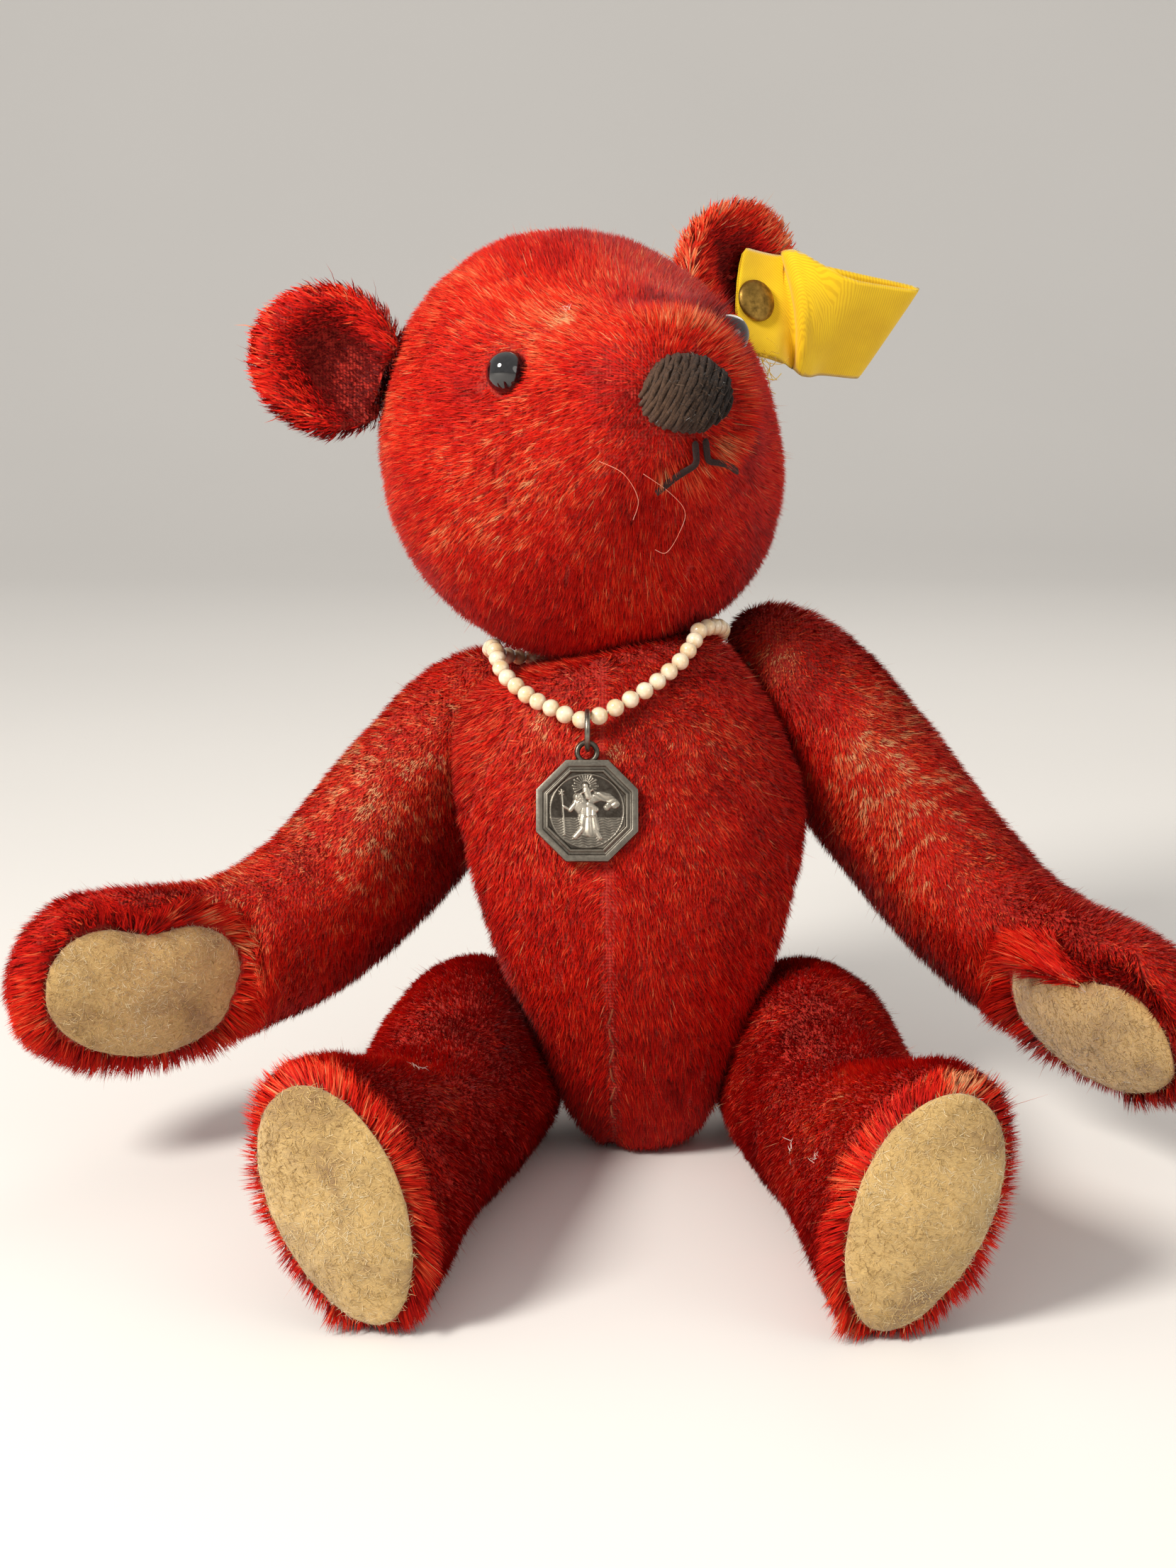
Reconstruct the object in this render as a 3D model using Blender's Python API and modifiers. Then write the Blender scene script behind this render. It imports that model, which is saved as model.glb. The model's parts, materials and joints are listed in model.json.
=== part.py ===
"""A worn, disc-jointed mohair teddy bear, seated, with a pearl necklace and a medal. Metres, +Z up.

The bear faces -Y. Its own left side is at +X. It sits on Z = 0, with the origin under its seat.
"""

import math

import bmesh
import bpy
from mathutils import Matrix, Vector
from mathutils.bvhtree import BVHTree

MM = 0.001

# Body sizes
HEAD_WIDTH = 70 * MM
HEAD_HEIGHT = 75 * MM
HEAD_LENGTH = 74 * MM
TORSO_WIDTH = 64 * MM
TORSO_DEPTH = 51 * MM
TORSO_LENGTH = 94 * MM
ARM_LENGTH = 126 * MM
ARM_BEND = math.radians(46)
ARM_WIDTH = 32 * MM
ARM_THICKNESS = 26 * MM
LEG_LENGTH = 111 * MM
LEG_WIDTH = 35 * MM
LEG_THICKNESS = 27 * MM
SOLE_LENGTH = 37 * MM
SOLE_WIDTH = 20 * MM
EAR_WIDTH = 26 * MM
EAR_HEIGHT = 28 * MM
EAR_THICKNESS = 9.5 * MM
EAR_CUP = 5.5 * MM
PAW_PAD_LENGTH = 37 * MM
PAW_PAD_WIDTH = 25 * MM
PAD_DOME = 2.6 * MM
PAD_EDGE = 0.9 * MM
GAP = 0.3 * MM

# Face
EYE_DIAMETER = 8 * MM
EYE_DEPTH = 4.6 * MM
EYE_RIGHT_SEAT = Vector((-20, 0, 11)) * MM
EYE_LEFT_SEAT = Vector((17, 0, 7.5)) * MM
EYE_SHANK_DIAMETER = 1.6 * MM
EYE_SHANK_LENGTH = 5 * MM
NOSE_WIDTH = 16.5 * MM
NOSE_HEIGHT = 13.5 * MM
NOSE_DEPTH = 8 * MM
NOSE_STITCHES = 9
NOSE_STITCH_RELIEF = 0.35 * MM
NOSE_LIFT = -1.5 * MM
MOUTH_THREAD = 1.3 * MM
MOUTH_DROP = 6 * MM
MOUTH_REACH = 6.5 * MM

# Joint hardware
ARM_DISC_DIAMETER = 16 * MM
LEG_DISC_DIAMETER = 19 * MM
NECK_DISC_DIAMETER = 22 * MM
DISC_THICKNESS = 1.8 * MM
WASHER_DIAMETER = 8 * MM
WASHER_THICKNESS = 0.6 * MM
PIN_WIRE = 1.5 * MM
PIN_CURL_RADIUS = 1.5 * MM
PIN_HOLE_DIAMETER = 2.5 * MM
JOINT_WALL = 2.2 * MM
POCKET_CLEARANCE = 0.5 * MM

# Necklace, medal and ear ribbon
PEARL_DIAMETER = 3.0 * MM
PEARL_THREAD = 0.9 * MM
PEARL_PITCH = 3.06 * MM
RING_DIAMETER = 6.2 * MM
RING_WIRE = 0.9 * MM
MEDAL_WIDTH = 16.5 * MM
MEDAL_THICKNESS = 1.7 * MM
MEDAL_FRAME = 1.5 * MM
MEDAL_STEP = 0.35 * MM
MEDAL_FIELD_DIAMETER = 11.6 * MM
BAIL_DIAMETER = 3.2 * MM
BAIL_WIRE = 0.9 * MM
RIBBON_WIDTH = 20 * MM
RIBBON_LENGTH = 29 * MM
RIBBON_THICKNESS = 0.4 * MM
RIBBON_FOLD_RADIUS = 1.1 * MM
RIBBON_FOLD_SKEW = 2.4 * MM
RIBBON_BULGE = 5.5 * MM
RIBBON_HOOK = 7.5 * MM
RIBBON_HOOK_SKEW = 3.5 * MM
BUTTON_DIAMETER = 8 * MM
BUTTON_DEPTH = 1.8 * MM
BUTTON_SHANK_DIAMETER = 1.6 * MM
BUTTON_SHANK_LENGTH = 2.5 * MM

# Pose, as the worn bear sits: where each piece's axes point in the seated frame
TORSO_FOOT = Vector((3, -4, 0.4)) * MM
TORSO_UP = Vector((-0.08, 0.28, 0.955))
HEAD_FORWARD = Vector((0.39, -0.875, 0.27))
HEAD_UP = Vector((-0.29, 0.16, 0.94))
NECK_PITCH = math.radians(5)
SHOULDER_RIGHT_OUT = Vector((-0.67, 0.74, 0.04))
SHOULDER_LEFT_OUT = Vector((0.81, 0.42, 0.40))
ARM_RIGHT_ALONG = Vector((-0.60, -0.475, -0.625))
ARM_LEFT_ALONG = Vector((0.46, -0.46, -0.76))
HIP_RIGHT_OUT = Vector((-0.92, 0.17, -0.36))
HIP_LEFT_OUT = Vector((0.93, 0.10, -0.36))
LEG_RIGHT_ALONG = Vector((-0.33, -0.94, -0.055))
LEG_LEFT_ALONG = Vector((0.25, -0.965, -0.055))
SHOULDER_HEIGHT = 0.80
NECK_HEIGHT = 0.925
NECK_SEAT = 0.96
NECK_SHIFT = 5.3 * MM
STRING_LOW = 0.735
STRING_HIGH = 0.915
STRING_TURN = math.radians(-11)
STRING_RISE = math.radians(62)
STRING_OFF_CHEST = 2.2 * MM
HIP_HEIGHT = 19.2 * MM
HIP_BACK = 5 * MM
HIP_SPREAD = 15.5 * MM
RIBBON_ALONG = Vector((0.914, 0.375, -0.169))
RIBBON_UP = Vector((0.308, -0.359, 0.882))
RIBBON_SEAT_ACROSS = 0.40
RIBBON_SEAT_UP = -0.15
EAR_RIGHT_SEAT = Vector((-38.5, 4.4, 23.6)) * MM
EAR_LEFT_SEAT = Vector((42, 4.4, 23.0)) * MM
PAW_PAD_TURN = math.radians(6)
PALM_SHARE = 0.82

# Rings of each stuffed form: share of the length, centre, then reach towards -u, +u, -v and +v as shares of the
# half width and half height
TORSO_RINGS = (
    (-0.025, 0.00, 0.0, 0.0, 0.0),
    (0.020, 0.00, 0.30, 0.32, 0.42),
    (0.130, 0.00, 0.55, 0.62, 0.74),
    (0.270, 0.00, 0.82, 0.90, 0.95),
    (0.420, 0.00, 0.97, 1.03, 0.98),
    (0.560, 0.00, 1.00, 1.02, 1.00),
    (0.690, 0.00, 0.95, 0.95, 1.00),
    (0.810, 0.00, 0.82, 0.82, 0.90),
    (0.910, 0.00, 0.64, 0.66, 0.70),
    (0.975, 0.00, 0.40, 0.42, 0.44),
    (1.000, 0.00, 0.0, 0.0, 0.0),
)
HEAD_RINGS = (
    (0.00, 0.00, 0.00, 0.00, 0.00),
    (0.05, 0.00, 0.42, 0.42, 0.42),
    (0.17, -0.02, 0.78, 0.78, 0.76),
    (0.32, -0.04, 0.98, 1.00, 0.94),
    (0.46, -0.06, 1.02, 1.05, 0.96),
    (0.58, -0.06, 0.95, 0.97, 0.93),
    (0.68, -0.04, 0.77, 0.76, 0.80),
    (0.77, -0.02, 0.59, 0.59, 0.61),
    (0.86, 0.00, 0.49, 0.45, 0.48),
    (0.945, 0.00, 0.43, 0.37, 0.40),
    (0.99, 0.00, 0.27, 0.22, 0.25),
    (1.00, 0.00, 0.00, 0.00, 0.00),
)
HEAD_WIDEST = 0.46
MUZZLE_FROM = 0.66
MUZZLE_SQUARENESS = 0.22
ARM_RINGS = (
    (0.00, 0.00, 0.00, 0.00),
    (0.03, 0.00, 0.46, 0.50),
    (0.11, 0.00, 0.88, 0.94),
    (0.24, 0.00, 1.02, 1.02),
    (0.40, -0.03, 1.00, 0.95),
    (0.54, -0.04, 0.95, 0.88),
    (0.66, 0.00, 0.90, 0.82),
    (0.78, 0.03, 0.94, 0.82),
    (0.89, 0.04, 0.95, 0.78),
    (0.97, 0.03, 0.70, 0.58),
    (1.00, 0.00, 0.00, 0.00),
)
ARM_AXIS = 0.125
ARM_BEND_FROM = 0.42
ARM_BEND_TO = 0.78
LEG_RINGS = (
    (0.00, 0.00, 0.00, 0.00),
    (0.035, 0.00, 0.46, 0.50),
    (0.12, 0.00, 0.88, 0.94),
    (0.26, 0.00, 1.02, 1.02),
    (0.42, 0.00, 0.94, 0.95),
    (0.57, -0.02, 0.83, 0.86),
    (0.70, 0.05, 0.88, 0.82),
    (0.81, 0.15, 1.06, 0.82),
    (0.91, 0.21, 1.19, 0.82),
    (0.975, 0.22, 1.10, 0.76),
    (1.00, 0.22, 0.00, 0.00),
)
LEG_AXIS = 0.165
LEG_CUT = 0.955
FORM_COLUMNS = 14
HARDWARE_SIDES = 12
LIMB_COLUMNS = 10

SILHOUETTE_SWELL = 3 / (2 + math.cos(2 * math.pi / FORM_COLUMNS))
LIMB_SWELL = 3 / (2 + math.cos(2 * math.pi / LIMB_COLUMNS))


def clear_scene():
    for obj in list(bpy.data.objects):
        bpy.data.objects.remove(obj, do_unlink=True)


def new_collection(name, hidden=False):
    made = bpy.data.collections.new(name)
    bpy.context.scene.collection.children.link(made)
    made.hide_render = hidden
    return made


def material(name, colour, roughness, metallic=0.0):
    made = bpy.data.materials.get(name)
    if made is None:
        made = bpy.data.materials.new(name)
        made.use_nodes = True
        shader = made.node_tree.nodes["Principled BSDF"]
        shader.inputs["Base Color"].default_value = (*colour, 1)
        shader.inputs["Roughness"].default_value = roughness
        shader.inputs["Metallic"].default_value = metallic
        made.diffuse_color = (*colour, 1)
    return made


def mohair():
    return material("red_mohair", (0.55, 0.008, 0.004), 0.95)


def felt():
    return material("beige_wool_felt", (0.72, 0.50, 0.23), 0.95)


def hardboard():
    return material("hardboard", (0.20, 0.11, 0.05), 0.8)


def steel():
    return material("zinc_plated_steel", (0.45, 0.45, 0.43), 0.35, 1.0)


def silver():
    return material("oxidised_silver", (0.22, 0.21, 0.19), 0.4, 1.0)


def place(obj, parent=None, matrix=None, collection=None):
    """Links an object and sets it in its parent's frame."""
    (collection or BEAR).objects.link(obj)
    if parent is not None:
        obj.parent = parent
    obj.matrix_basis = matrix or Matrix.Identity(4)
    return obj


def frame_of(name, origin, out, along, parent=None):
    """An empty with its Z on out and its X as near to along as a right angle allows, in the seated frame."""
    z_axis = out.normalized()
    x_axis = (along - along.dot(z_axis) * z_axis).normalized()
    y_axis = z_axis.cross(x_axis)
    world = Matrix((x_axis, y_axis, z_axis)).transposed().to_4x4()
    world.translation = origin
    empty = bpy.data.objects.new(name, None)
    empty.empty_display_size = 0.01
    BEAR.objects.link(empty)
    if parent is not None:
        empty.parent = parent
        empty.matrix_basis = world_of(parent).inverted() @ world
    else:
        empty.matrix_basis = world
    return empty


def world_of(obj):
    matrix = obj.matrix_basis.copy()
    while obj.parent is not None:
        obj = obj.parent
        matrix = obj.matrix_basis @ matrix
    return matrix


def mesh_object(name, bm, made_of):
    bm.normal_update()
    bmesh.ops.recalc_face_normals(bm, faces=bm.faces)
    if bm.calc_volume(signed=True) < 0:
        bmesh.ops.reverse_faces(bm, faces=bm.faces)
    mesh = bpy.data.meshes.new(name)
    bm.to_mesh(mesh)
    bm.free()
    mesh.materials.append(made_of)
    mesh.shade_smooth()
    return bpy.data.objects.new(name, mesh)


def stuffed_form(name, points_of, ring_count, columns, made_of, levels=1):
    """A soft closed form: a sphere whose rings are set out by points_of(ring, angle), then subdivided."""
    bm = bmesh.new()
    bmesh.ops.create_uvsphere(bm, u_segments=columns, v_segments=ring_count - 1, radius=1)
    for vertex in bm.verts:
        tilt = math.acos(max(-1.0, min(1.0, vertex.co.z)))
        ring = round(tilt / math.pi * (ring_count - 1))
        vertex.co = points_of(ring, math.atan2(vertex.co.y, vertex.co.x))
    obj = mesh_object(name, bm, made_of)
    soften = obj.modifiers.new("Stuffing", "SUBSURF")
    soften.levels = levels
    soften.render_levels = levels
    return obj


def boolean(obj, other, operation="DIFFERENCE"):
    """Cuts obj by a cutter, or joins the cutter to it."""
    step = obj.modifiers.new(operation.title() + " " + other.name, "BOOLEAN")
    step.operation = operation
    step.object = other
    step.solver = "EXACT"


def cutter(obj, parent=None, matrix=None):
    place(obj, parent, matrix, CUTTERS)
    obj.hide_render = True
    obj.display_type = "WIRE"
    return obj


def half_space(name, parent, matrix=None, size=0.4):
    """A block that fills all of +Z of its own frame."""
    bm = bmesh.new()
    bmesh.ops.create_cube(bm, size=size)
    bmesh.ops.translate(bm, verts=bm.verts, vec=(0, 0, size / 2))
    return cutter(mesh_object(name, bm, steel()), parent, matrix)


def turned(name, profile, steps, made_of):
    """A solid of revolution about Z. The profile runs down its outer side."""
    bm = bmesh.new()
    ring = [bm.verts.new((radius, 0, height)) for radius, height in profile]
    for first, second in zip(ring, ring[1:] + ring[:1]):
        if first.co.x > 0 or second.co.x > 0:
            bm.edges.new((first, second))
    mesh = bpy.data.meshes.new(name)
    bm.to_mesh(mesh)
    bm.free()
    mesh.materials.append(made_of)
    obj = bpy.data.objects.new(name, mesh)
    lathe = obj.modifiers.new("Turn", "SCREW")
    lathe.steps = steps
    lathe.render_steps = steps
    lathe.use_merge_vertices = True
    lathe.merge_threshold = 0.00001
    lathe.use_smooth_shade = False
    return obj


def wire(name, points, diameter, made_of, closed=False, resolution=1):
    """A round wire along a polyline."""
    curve = bpy.data.curves.new(name, "CURVE")
    curve.dimensions = "3D"
    curve.bevel_depth = diameter / 2
    curve.bevel_resolution = resolution
    curve.use_fill_caps = not closed
    line = curve.splines.new("POLY")
    line.points.add(len(points) - 1)
    for point, place_at in zip(line.points, points):
        point.co = (*place_at, 1)
    line.use_cyclic_u = closed
    curve.materials.append(made_of)
    return bpy.data.objects.new(name, curve)


# Frames

FLIP = Matrix.Rotation(math.pi, 4, "X")


def torso_axis_point(share):
    return TORSO_FOOT + TORSO_UP.normalized() * (share * TORSO_LENGTH)


def torso_ring(share, ring_table=TORSO_RINGS):
    """The torso's half width, front reach and back reach at a share of its length."""
    for low, high in zip(ring_table, ring_table[1:]):
        if low[0] <= share <= high[0]:
            mix = (share - low[0]) / (high[0] - low[0])
            values = [a + (b - a) * mix for a, b in zip(low, high)]
            return values[2] * TORSO_WIDTH / 2, values[3] * TORSO_DEPTH / 2, values[4] * TORSO_DEPTH / 2
    return 0.0, 0.0, 0.0


def shoulder_point(out):
    """Where a shoulder's flat meets the torso: on the ray out from the torso's axis, a little inside its skin."""
    up = TORSO_UP.normalized()
    flat_out = (out - out.dot(up) * up).normalized()
    half_width, _, back = torso_ring(SHOULDER_HEIGHT)
    side = Vector((1, 0, 0)) - up.x * up
    side.normalize()
    across = flat_out.dot(side)
    behind = math.sqrt(max(0.0, 1 - across * across))
    reach = 1 / math.sqrt((across / half_width) ** 2 + (behind / back) ** 2)
    return torso_axis_point(SHOULDER_HEIGHT) + flat_out * (reach * 0.93)


def build_frames():
    torso = frame_of("torso_frame", TORSO_FOOT, TORSO_UP, Vector((1, 0, 0)))
    neck_up = (HEAD_UP.normalized() * math.cos(NECK_PITCH) + HEAD_FORWARD.normalized() * math.sin(NECK_PITCH))
    neck_at = torso_axis_point(NECK_HEIGHT) + Vector((NECK_SHIFT, 0, 0))
    neck = frame_of("neck_joint", neck_at, neck_up, Vector((1, 0.4, 0)))
    head = frame_of("head_frame", neck_at + neck_up * (HEAD_HEIGHT / 2 * NECK_SEAT), HEAD_UP,
                    HEAD_UP.cross(HEAD_FORWARD), neck)
    shoulder_right = frame_of("shoulder_right_joint", shoulder_point(SHOULDER_RIGHT_OUT), SHOULDER_RIGHT_OUT,
                              ARM_RIGHT_ALONG)
    shoulder_left = frame_of("shoulder_left_joint", shoulder_point(SHOULDER_LEFT_OUT), SHOULDER_LEFT_OUT,
                             ARM_LEFT_ALONG)
    hip_centre = TORSO_FOOT.x * 0.6
    hip_right = frame_of("hip_right_joint", Vector((hip_centre - HIP_SPREAD, HIP_BACK, HIP_HEIGHT)), HIP_RIGHT_OUT,
                         LEG_RIGHT_ALONG)
    hip_left = frame_of("hip_left_joint", Vector((hip_centre + HIP_SPREAD, HIP_BACK, HIP_HEIGHT)), HIP_LEFT_OUT,
                        LEG_LEFT_ALONG)
    return dict(torso=torso, neck=neck, head=head, shoulder_right=shoulder_right, shoulder_left=shoulder_left,
                hip_right=hip_right, hip_left=hip_left)


# Stuffed pieces

def torso_points(grow=0.0):
    def points_of(ring, angle):
        share, _, half, front, back = TORSO_RINGS[ring]
        swell = SILHOUETTE_SWELL
        width = (half * TORSO_WIDTH / 2 * swell + grow * (half > 0)) * math.cos(angle)
        reach = back if math.sin(angle) > 0 else front
        depth = (reach * TORSO_DEPTH / 2 * swell + grow * (half > 0)) * math.sin(angle)
        return Vector((width, depth, share * TORSO_LENGTH + grow * (2 * share - 1)))
    return points_of


def head_points(grow=0.0):
    def points_of(ring, angle):
        share, centre, half, up, down = HEAD_RINGS[ring]
        swell = SILHOUETTE_SWELL
        power = 1 - MUZZLE_SQUARENESS * max(0.0, min(1.0, (share - MUZZLE_FROM) / 0.2))
        across = math.copysign(abs(math.cos(angle)) ** power, math.cos(angle))
        upward = math.copysign(abs(math.sin(angle)) ** power, math.sin(angle))
        width = (half * HEAD_WIDTH / 2 * swell + grow * (half > 0)) * across
        reach = up if upward > 0 else down
        height = (reach * HEAD_HEIGHT / 2 * swell + grow * (half > 0)) * upward
        forward = (share - HEAD_WIDEST) * HEAD_LENGTH + grow * (2 * share - 1)
        return Vector((width, -forward, centre * HEAD_HEIGHT / 2 + height))
    return points_of


def arm_spine(share):
    """The arm's centre line in its joint's plane at a share of its length, and its direction there."""
    start = (ARM_BEND_FROM - ARM_AXIS) * ARM_LENGTH
    arc = (ARM_BEND_TO - ARM_BEND_FROM) * ARM_LENGTH
    radius = arc / ARM_BEND
    along = (share - ARM_AXIS) * ARM_LENGTH
    turn = ARM_BEND * max(0.0, min(1.0, (along - start) / arc))
    x = min(along, start) + radius * math.sin(turn)
    y = radius * (1 - math.cos(turn))
    rest = max(0.0, along - start - arc)
    return Vector((x + rest * math.cos(turn), y + rest * math.sin(turn), 0)), turn


def leg_spine(share):
    return Vector(((share - LEG_AXIS) * LEG_LENGTH, 0, 0)), 0.0


def limb_points(rings, spine, width, thickness, side):
    """A limb in its joint's frame: X along it, Y to its upper or toe side, Z out from the joint's flat."""
    out = thickness / 2 * 0.84

    def points_of(ring, angle):
        share, offset, half_width, half_thickness = rings[ring]
        centre, turn = spine(share)
        across = offset * width / 2 + half_width * width / 2 * LIMB_SWELL * math.cos(angle)
        outward = out + half_thickness * thickness / 2 * LIMB_SWELL * math.sin(angle)
        x = centre.x - across * math.sin(turn)
        y = centre.y + across * math.cos(turn)
        return Vector((x, side * y, outward))
    return points_of


def pocket_profile(disc_diameter):
    """Half section of the room inside one side of a joint, from its pin hole to the end of the pin's curl."""
    disc_top = JOINT_WALL + POCKET_CLEARANCE + DISC_THICKNESS + POCKET_CLEARANCE
    curl_top = pin_end() + PIN_CURL_RADIUS + PIN_WIRE / 2 + POCKET_CLEARANCE
    disc_radius = disc_diameter / 2 + POCKET_CLEARANCE
    inner_radius = WASHER_DIAMETER / 2 + POCKET_CLEARANCE
    hole = PIN_HOLE_DIAMETER / 2
    start = -GAP
    return ((0, curl_top), (inner_radius, curl_top), (inner_radius, disc_top), (disc_radius, disc_top),
            (disc_radius, JOINT_WALL), (hole, JOINT_WALL), (hole, start), (0, start))


def disc_height():
    return JOINT_WALL + GAP + DISC_THICKNESS / 2


def washer_height():
    return disc_height() + DISC_THICKNESS / 2 + GAP + WASHER_THICKNESS / 2


def pin_end():
    """Height of the curl's centre, so that the curl bears on the washer."""
    curl_low = PIN_CURL_RADIUS * math.sin(math.radians(60)) + PIN_WIRE / 2
    return washer_height() + WASHER_THICKNESS / 2 + GAP + curl_low


def joint_flats(joint, inner, outer, disc_diameter, name):
    """Cuts the flat and the pocket of a joint into the pieces on each side of it."""
    half_gap = GAP / 2
    if inner is not None:
        flat = half_space(name + "_inner_flat", joint, Matrix.Translation((0, 0, -half_gap)))
        boolean(inner, flat)
    flat = half_space(name + "_outer_flat", joint, Matrix.Translation((0, 0, half_gap)) @ FLIP)
    boolean(outer, flat)
    for piece, turn, tag in ((inner, FLIP, "_inner_pocket"), (outer, Matrix.Identity(4), "_outer_pocket")):
        pocket = turned(name + tag, pocket_profile(disc_diameter), HARDWARE_SIDES, steel())
        cutter(pocket, joint, turn)
        boolean(piece, pocket)


def joint_hardware(joint, name, disc_diameter):
    """The two discs, two washers and the pin that hold a joint together."""
    hole = PIN_HOLE_DIAMETER / 2
    for turn, tag in ((FLIP, "body"), (Matrix.Identity(4), "limb")):
        half = DISC_THICKNESS / 2
        disc = turned(f"{name}_{tag}_disc",
                      ((hole, half), (disc_diameter / 2, half), (disc_diameter / 2, -half), (hole, -half)),
                      HARDWARE_SIDES, hardboard())
        place(disc, joint, turn @ Matrix.Translation((0, 0, disc_height())))
        half = WASHER_THICKNESS / 2
        washer = turned(f"{name}_{tag}_washer",
                        ((hole, half), (WASHER_DIAMETER / 2, half), (WASHER_DIAMETER / 2, -half), (hole, -half)),
                        8, steel())
        place(washer, joint, turn @ Matrix.Translation((0, 0, washer_height())))
    curl = []
    for step in range(5):
        angle = math.radians(180 - 60 * step)
        curl.append(Vector((PIN_CURL_RADIUS * (1 + math.cos(angle)), 0, pin_end() + PIN_CURL_RADIUS * math.sin(angle))))
    points = [Vector((-p.x, 0, -p.z)) for p in reversed(curl)] + curl
    place(wire(f"{name}_cotter_pin", points, PIN_WIRE, steel()), joint)


def build_torso(frames, floor):
    torso = stuffed_form("torso", torso_points(), len(TORSO_RINGS), FORM_COLUMNS, mohair())
    place(torso, frames["torso"])
    boolean(torso, floor)
    return torso


def build_head(frames):
    head = stuffed_form("head", head_points(), len(HEAD_RINGS), FORM_COLUMNS, mohair())
    return place(head, frames["head"])


def build_limb(name, rings, spine, width, thickness, side, joint):
    limb = stuffed_form(name, limb_points(rings, spine, width, thickness, side), len(rings), LIMB_COLUMNS, mohair())
    return place(limb, joint)


# Pads

def pad_form(name, outline, dome, edge):
    """A felt pad: a flat back at Z = 0, an edge of its own thickness and a domed front."""
    rings = 6
    columns = 16
    bm = bmesh.new()
    bmesh.ops.create_uvsphere(bm, u_segments=columns, v_segments=rings, radius=1)
    for vertex in bm.verts:
        tilt = math.acos(max(-1.0, min(1.0, vertex.co.z)))
        ring = round(tilt / math.pi * rings)
        reach = (0.0, 0.5, 0.85, 1.0, 1.0, 0.6, 0.0)[ring]
        height = (edge + dome, edge + dome * 0.78, edge + dome * 0.36, edge, 0.0, 0.0, 0.0)[ring]
        x, y = outline(math.atan2(vertex.co.y, vertex.co.x))
        vertex.co = Vector((x * reach, y * reach, height))
    return mesh_object(name, bm, felt())


def kidney(angle):
    """The paw pad's outline: an oval with a hollow in the middle of its upper edge."""
    x = math.cos(angle) * PAW_PAD_LENGTH / 2
    y = math.sin(angle) * PAW_PAD_WIDTH / 2
    if y > 0:
        y -= 0.2 * PAW_PAD_WIDTH * math.exp(-(x / (0.18 * PAW_PAD_LENGTH)) ** 2)
    return x, y


def oval(angle):
    """The sole pad's outline: an oval, a little wider at the toe."""
    y = math.cos(angle) * SOLE_LENGTH / 2
    x = math.sin(angle) * SOLE_WIDTH / 2 * (1 + 0.08 * math.cos(angle))
    return x, y


def build_paw_pad(name, arm, joint, side):
    """Cuts the palm's flat on the arm, and seats the pad on it."""
    centre, turn = arm_spine(PALM_SHARE)
    centre = Vector((centre.x, side * centre.y, ARM_THICKNESS / 2 * 0.84))
    normal = Vector((0.0, side * math.sin(PAW_PAD_TURN), -math.cos(PAW_PAD_TURN)))
    depth = 0.36 * ARM_THICKNESS / 2
    along = Vector((math.cos(turn), side * math.sin(turn), 0))
    along = (along - along.dot(normal) * normal).normalized()
    up = normal.cross(along)
    seat = Matrix((along, up, normal)).transposed().to_4x4()
    seat.translation = centre + normal * depth
    reach = 0.2
    palm_shift = Matrix.Translation((reach / 2 - PAW_PAD_LENGTH / 2 - 1.0 * MM, 0, 0))
    palm = half_space(name + "_flat", joint, seat @ palm_shift, reach)
    boolean(arm, palm)
    mirror = Matrix.Identity(4) if up.y * side > 0 else Matrix.Rotation(math.pi, 4, "Z")
    pad = pad_form(name, kidney, PAD_DOME, PAD_EDGE)
    place(pad, joint, seat @ mirror @ Matrix.Translation((0, 0, GAP)))
    return pad


def build_sole(name, leg, joint, side):
    """Cuts the foot's flat end on the leg, and seats the sole on it."""
    at = leg_spine(LEG_CUT)[0] + Vector((0, side * 0.22 * LEG_WIDTH / 2, LEG_THICKNESS / 2 * 0.84))
    normal = Vector((1, 0, 0))
    toe = Vector((0, side, 0))
    seat = Matrix((toe.cross(normal), toe, normal)).transposed().to_4x4()
    seat.translation = at
    boolean(leg, half_space(name + "_flat", joint, seat))
    pad = pad_form(name, oval, PAD_DOME, PAD_EDGE)
    place(pad, joint, seat @ Matrix.Translation((0, 0, GAP)))
    return pad


# Face

def surface_tree(obj):
    """The evaluated surface of an object, in its own frame."""
    bpy.context.view_layer.update()
    graph = bpy.context.evaluated_depsgraph_get()
    evaluated = obj.evaluated_get(graph)
    return BVHTree.FromObject(evaluated, graph)


def grown_head(frames):
    """The head made larger by the gap all round, which shapes the backs of the pieces sewn to it."""
    return cutter(stuffed_form("head_seat", head_points(GAP * 1.2), len(HEAD_RINGS), FORM_COLUMNS, steel()),
                  frames["head"])


def build_ear(side, frames, head_seat):
    name = "ear_left" if side > 0 else "ear_right"
    rings = 8
    columns = 10

    def points_of(ring, angle):
        tilt = math.pi * ring / (rings - 1)
        # The sphere's poles lie on the ear's front and back
        reach = math.sin(tilt) ** 0.8
        across = reach * math.cos(angle)
        up = reach * math.sin(angle)
        thickness = -math.cos(tilt) * EAR_THICKNESS / 2
        cup = EAR_CUP * (1 - reach ** 2)
        return Vector((across * EAR_WIDTH / 2, thickness + cup, up * EAR_HEIGHT / 2))

    ear = stuffed_form(name, points_of, rings, columns, mohair())
    out = Vector((side * 0.86, 0.05, 0.50)).normalized()
    forward = Vector((side * 0.30, -1, -0.10))
    back = -(forward - forward.dot(out) * out).normalized()
    matrix = Matrix((back.cross(out), back, out)).transposed().to_4x4()
    matrix.translation = EAR_LEFT_SEAT if side > 0 else EAR_RIGHT_SEAT
    place(ear, frames["head"], matrix)
    boolean(ear, head_seat)
    return ear, matrix


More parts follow.
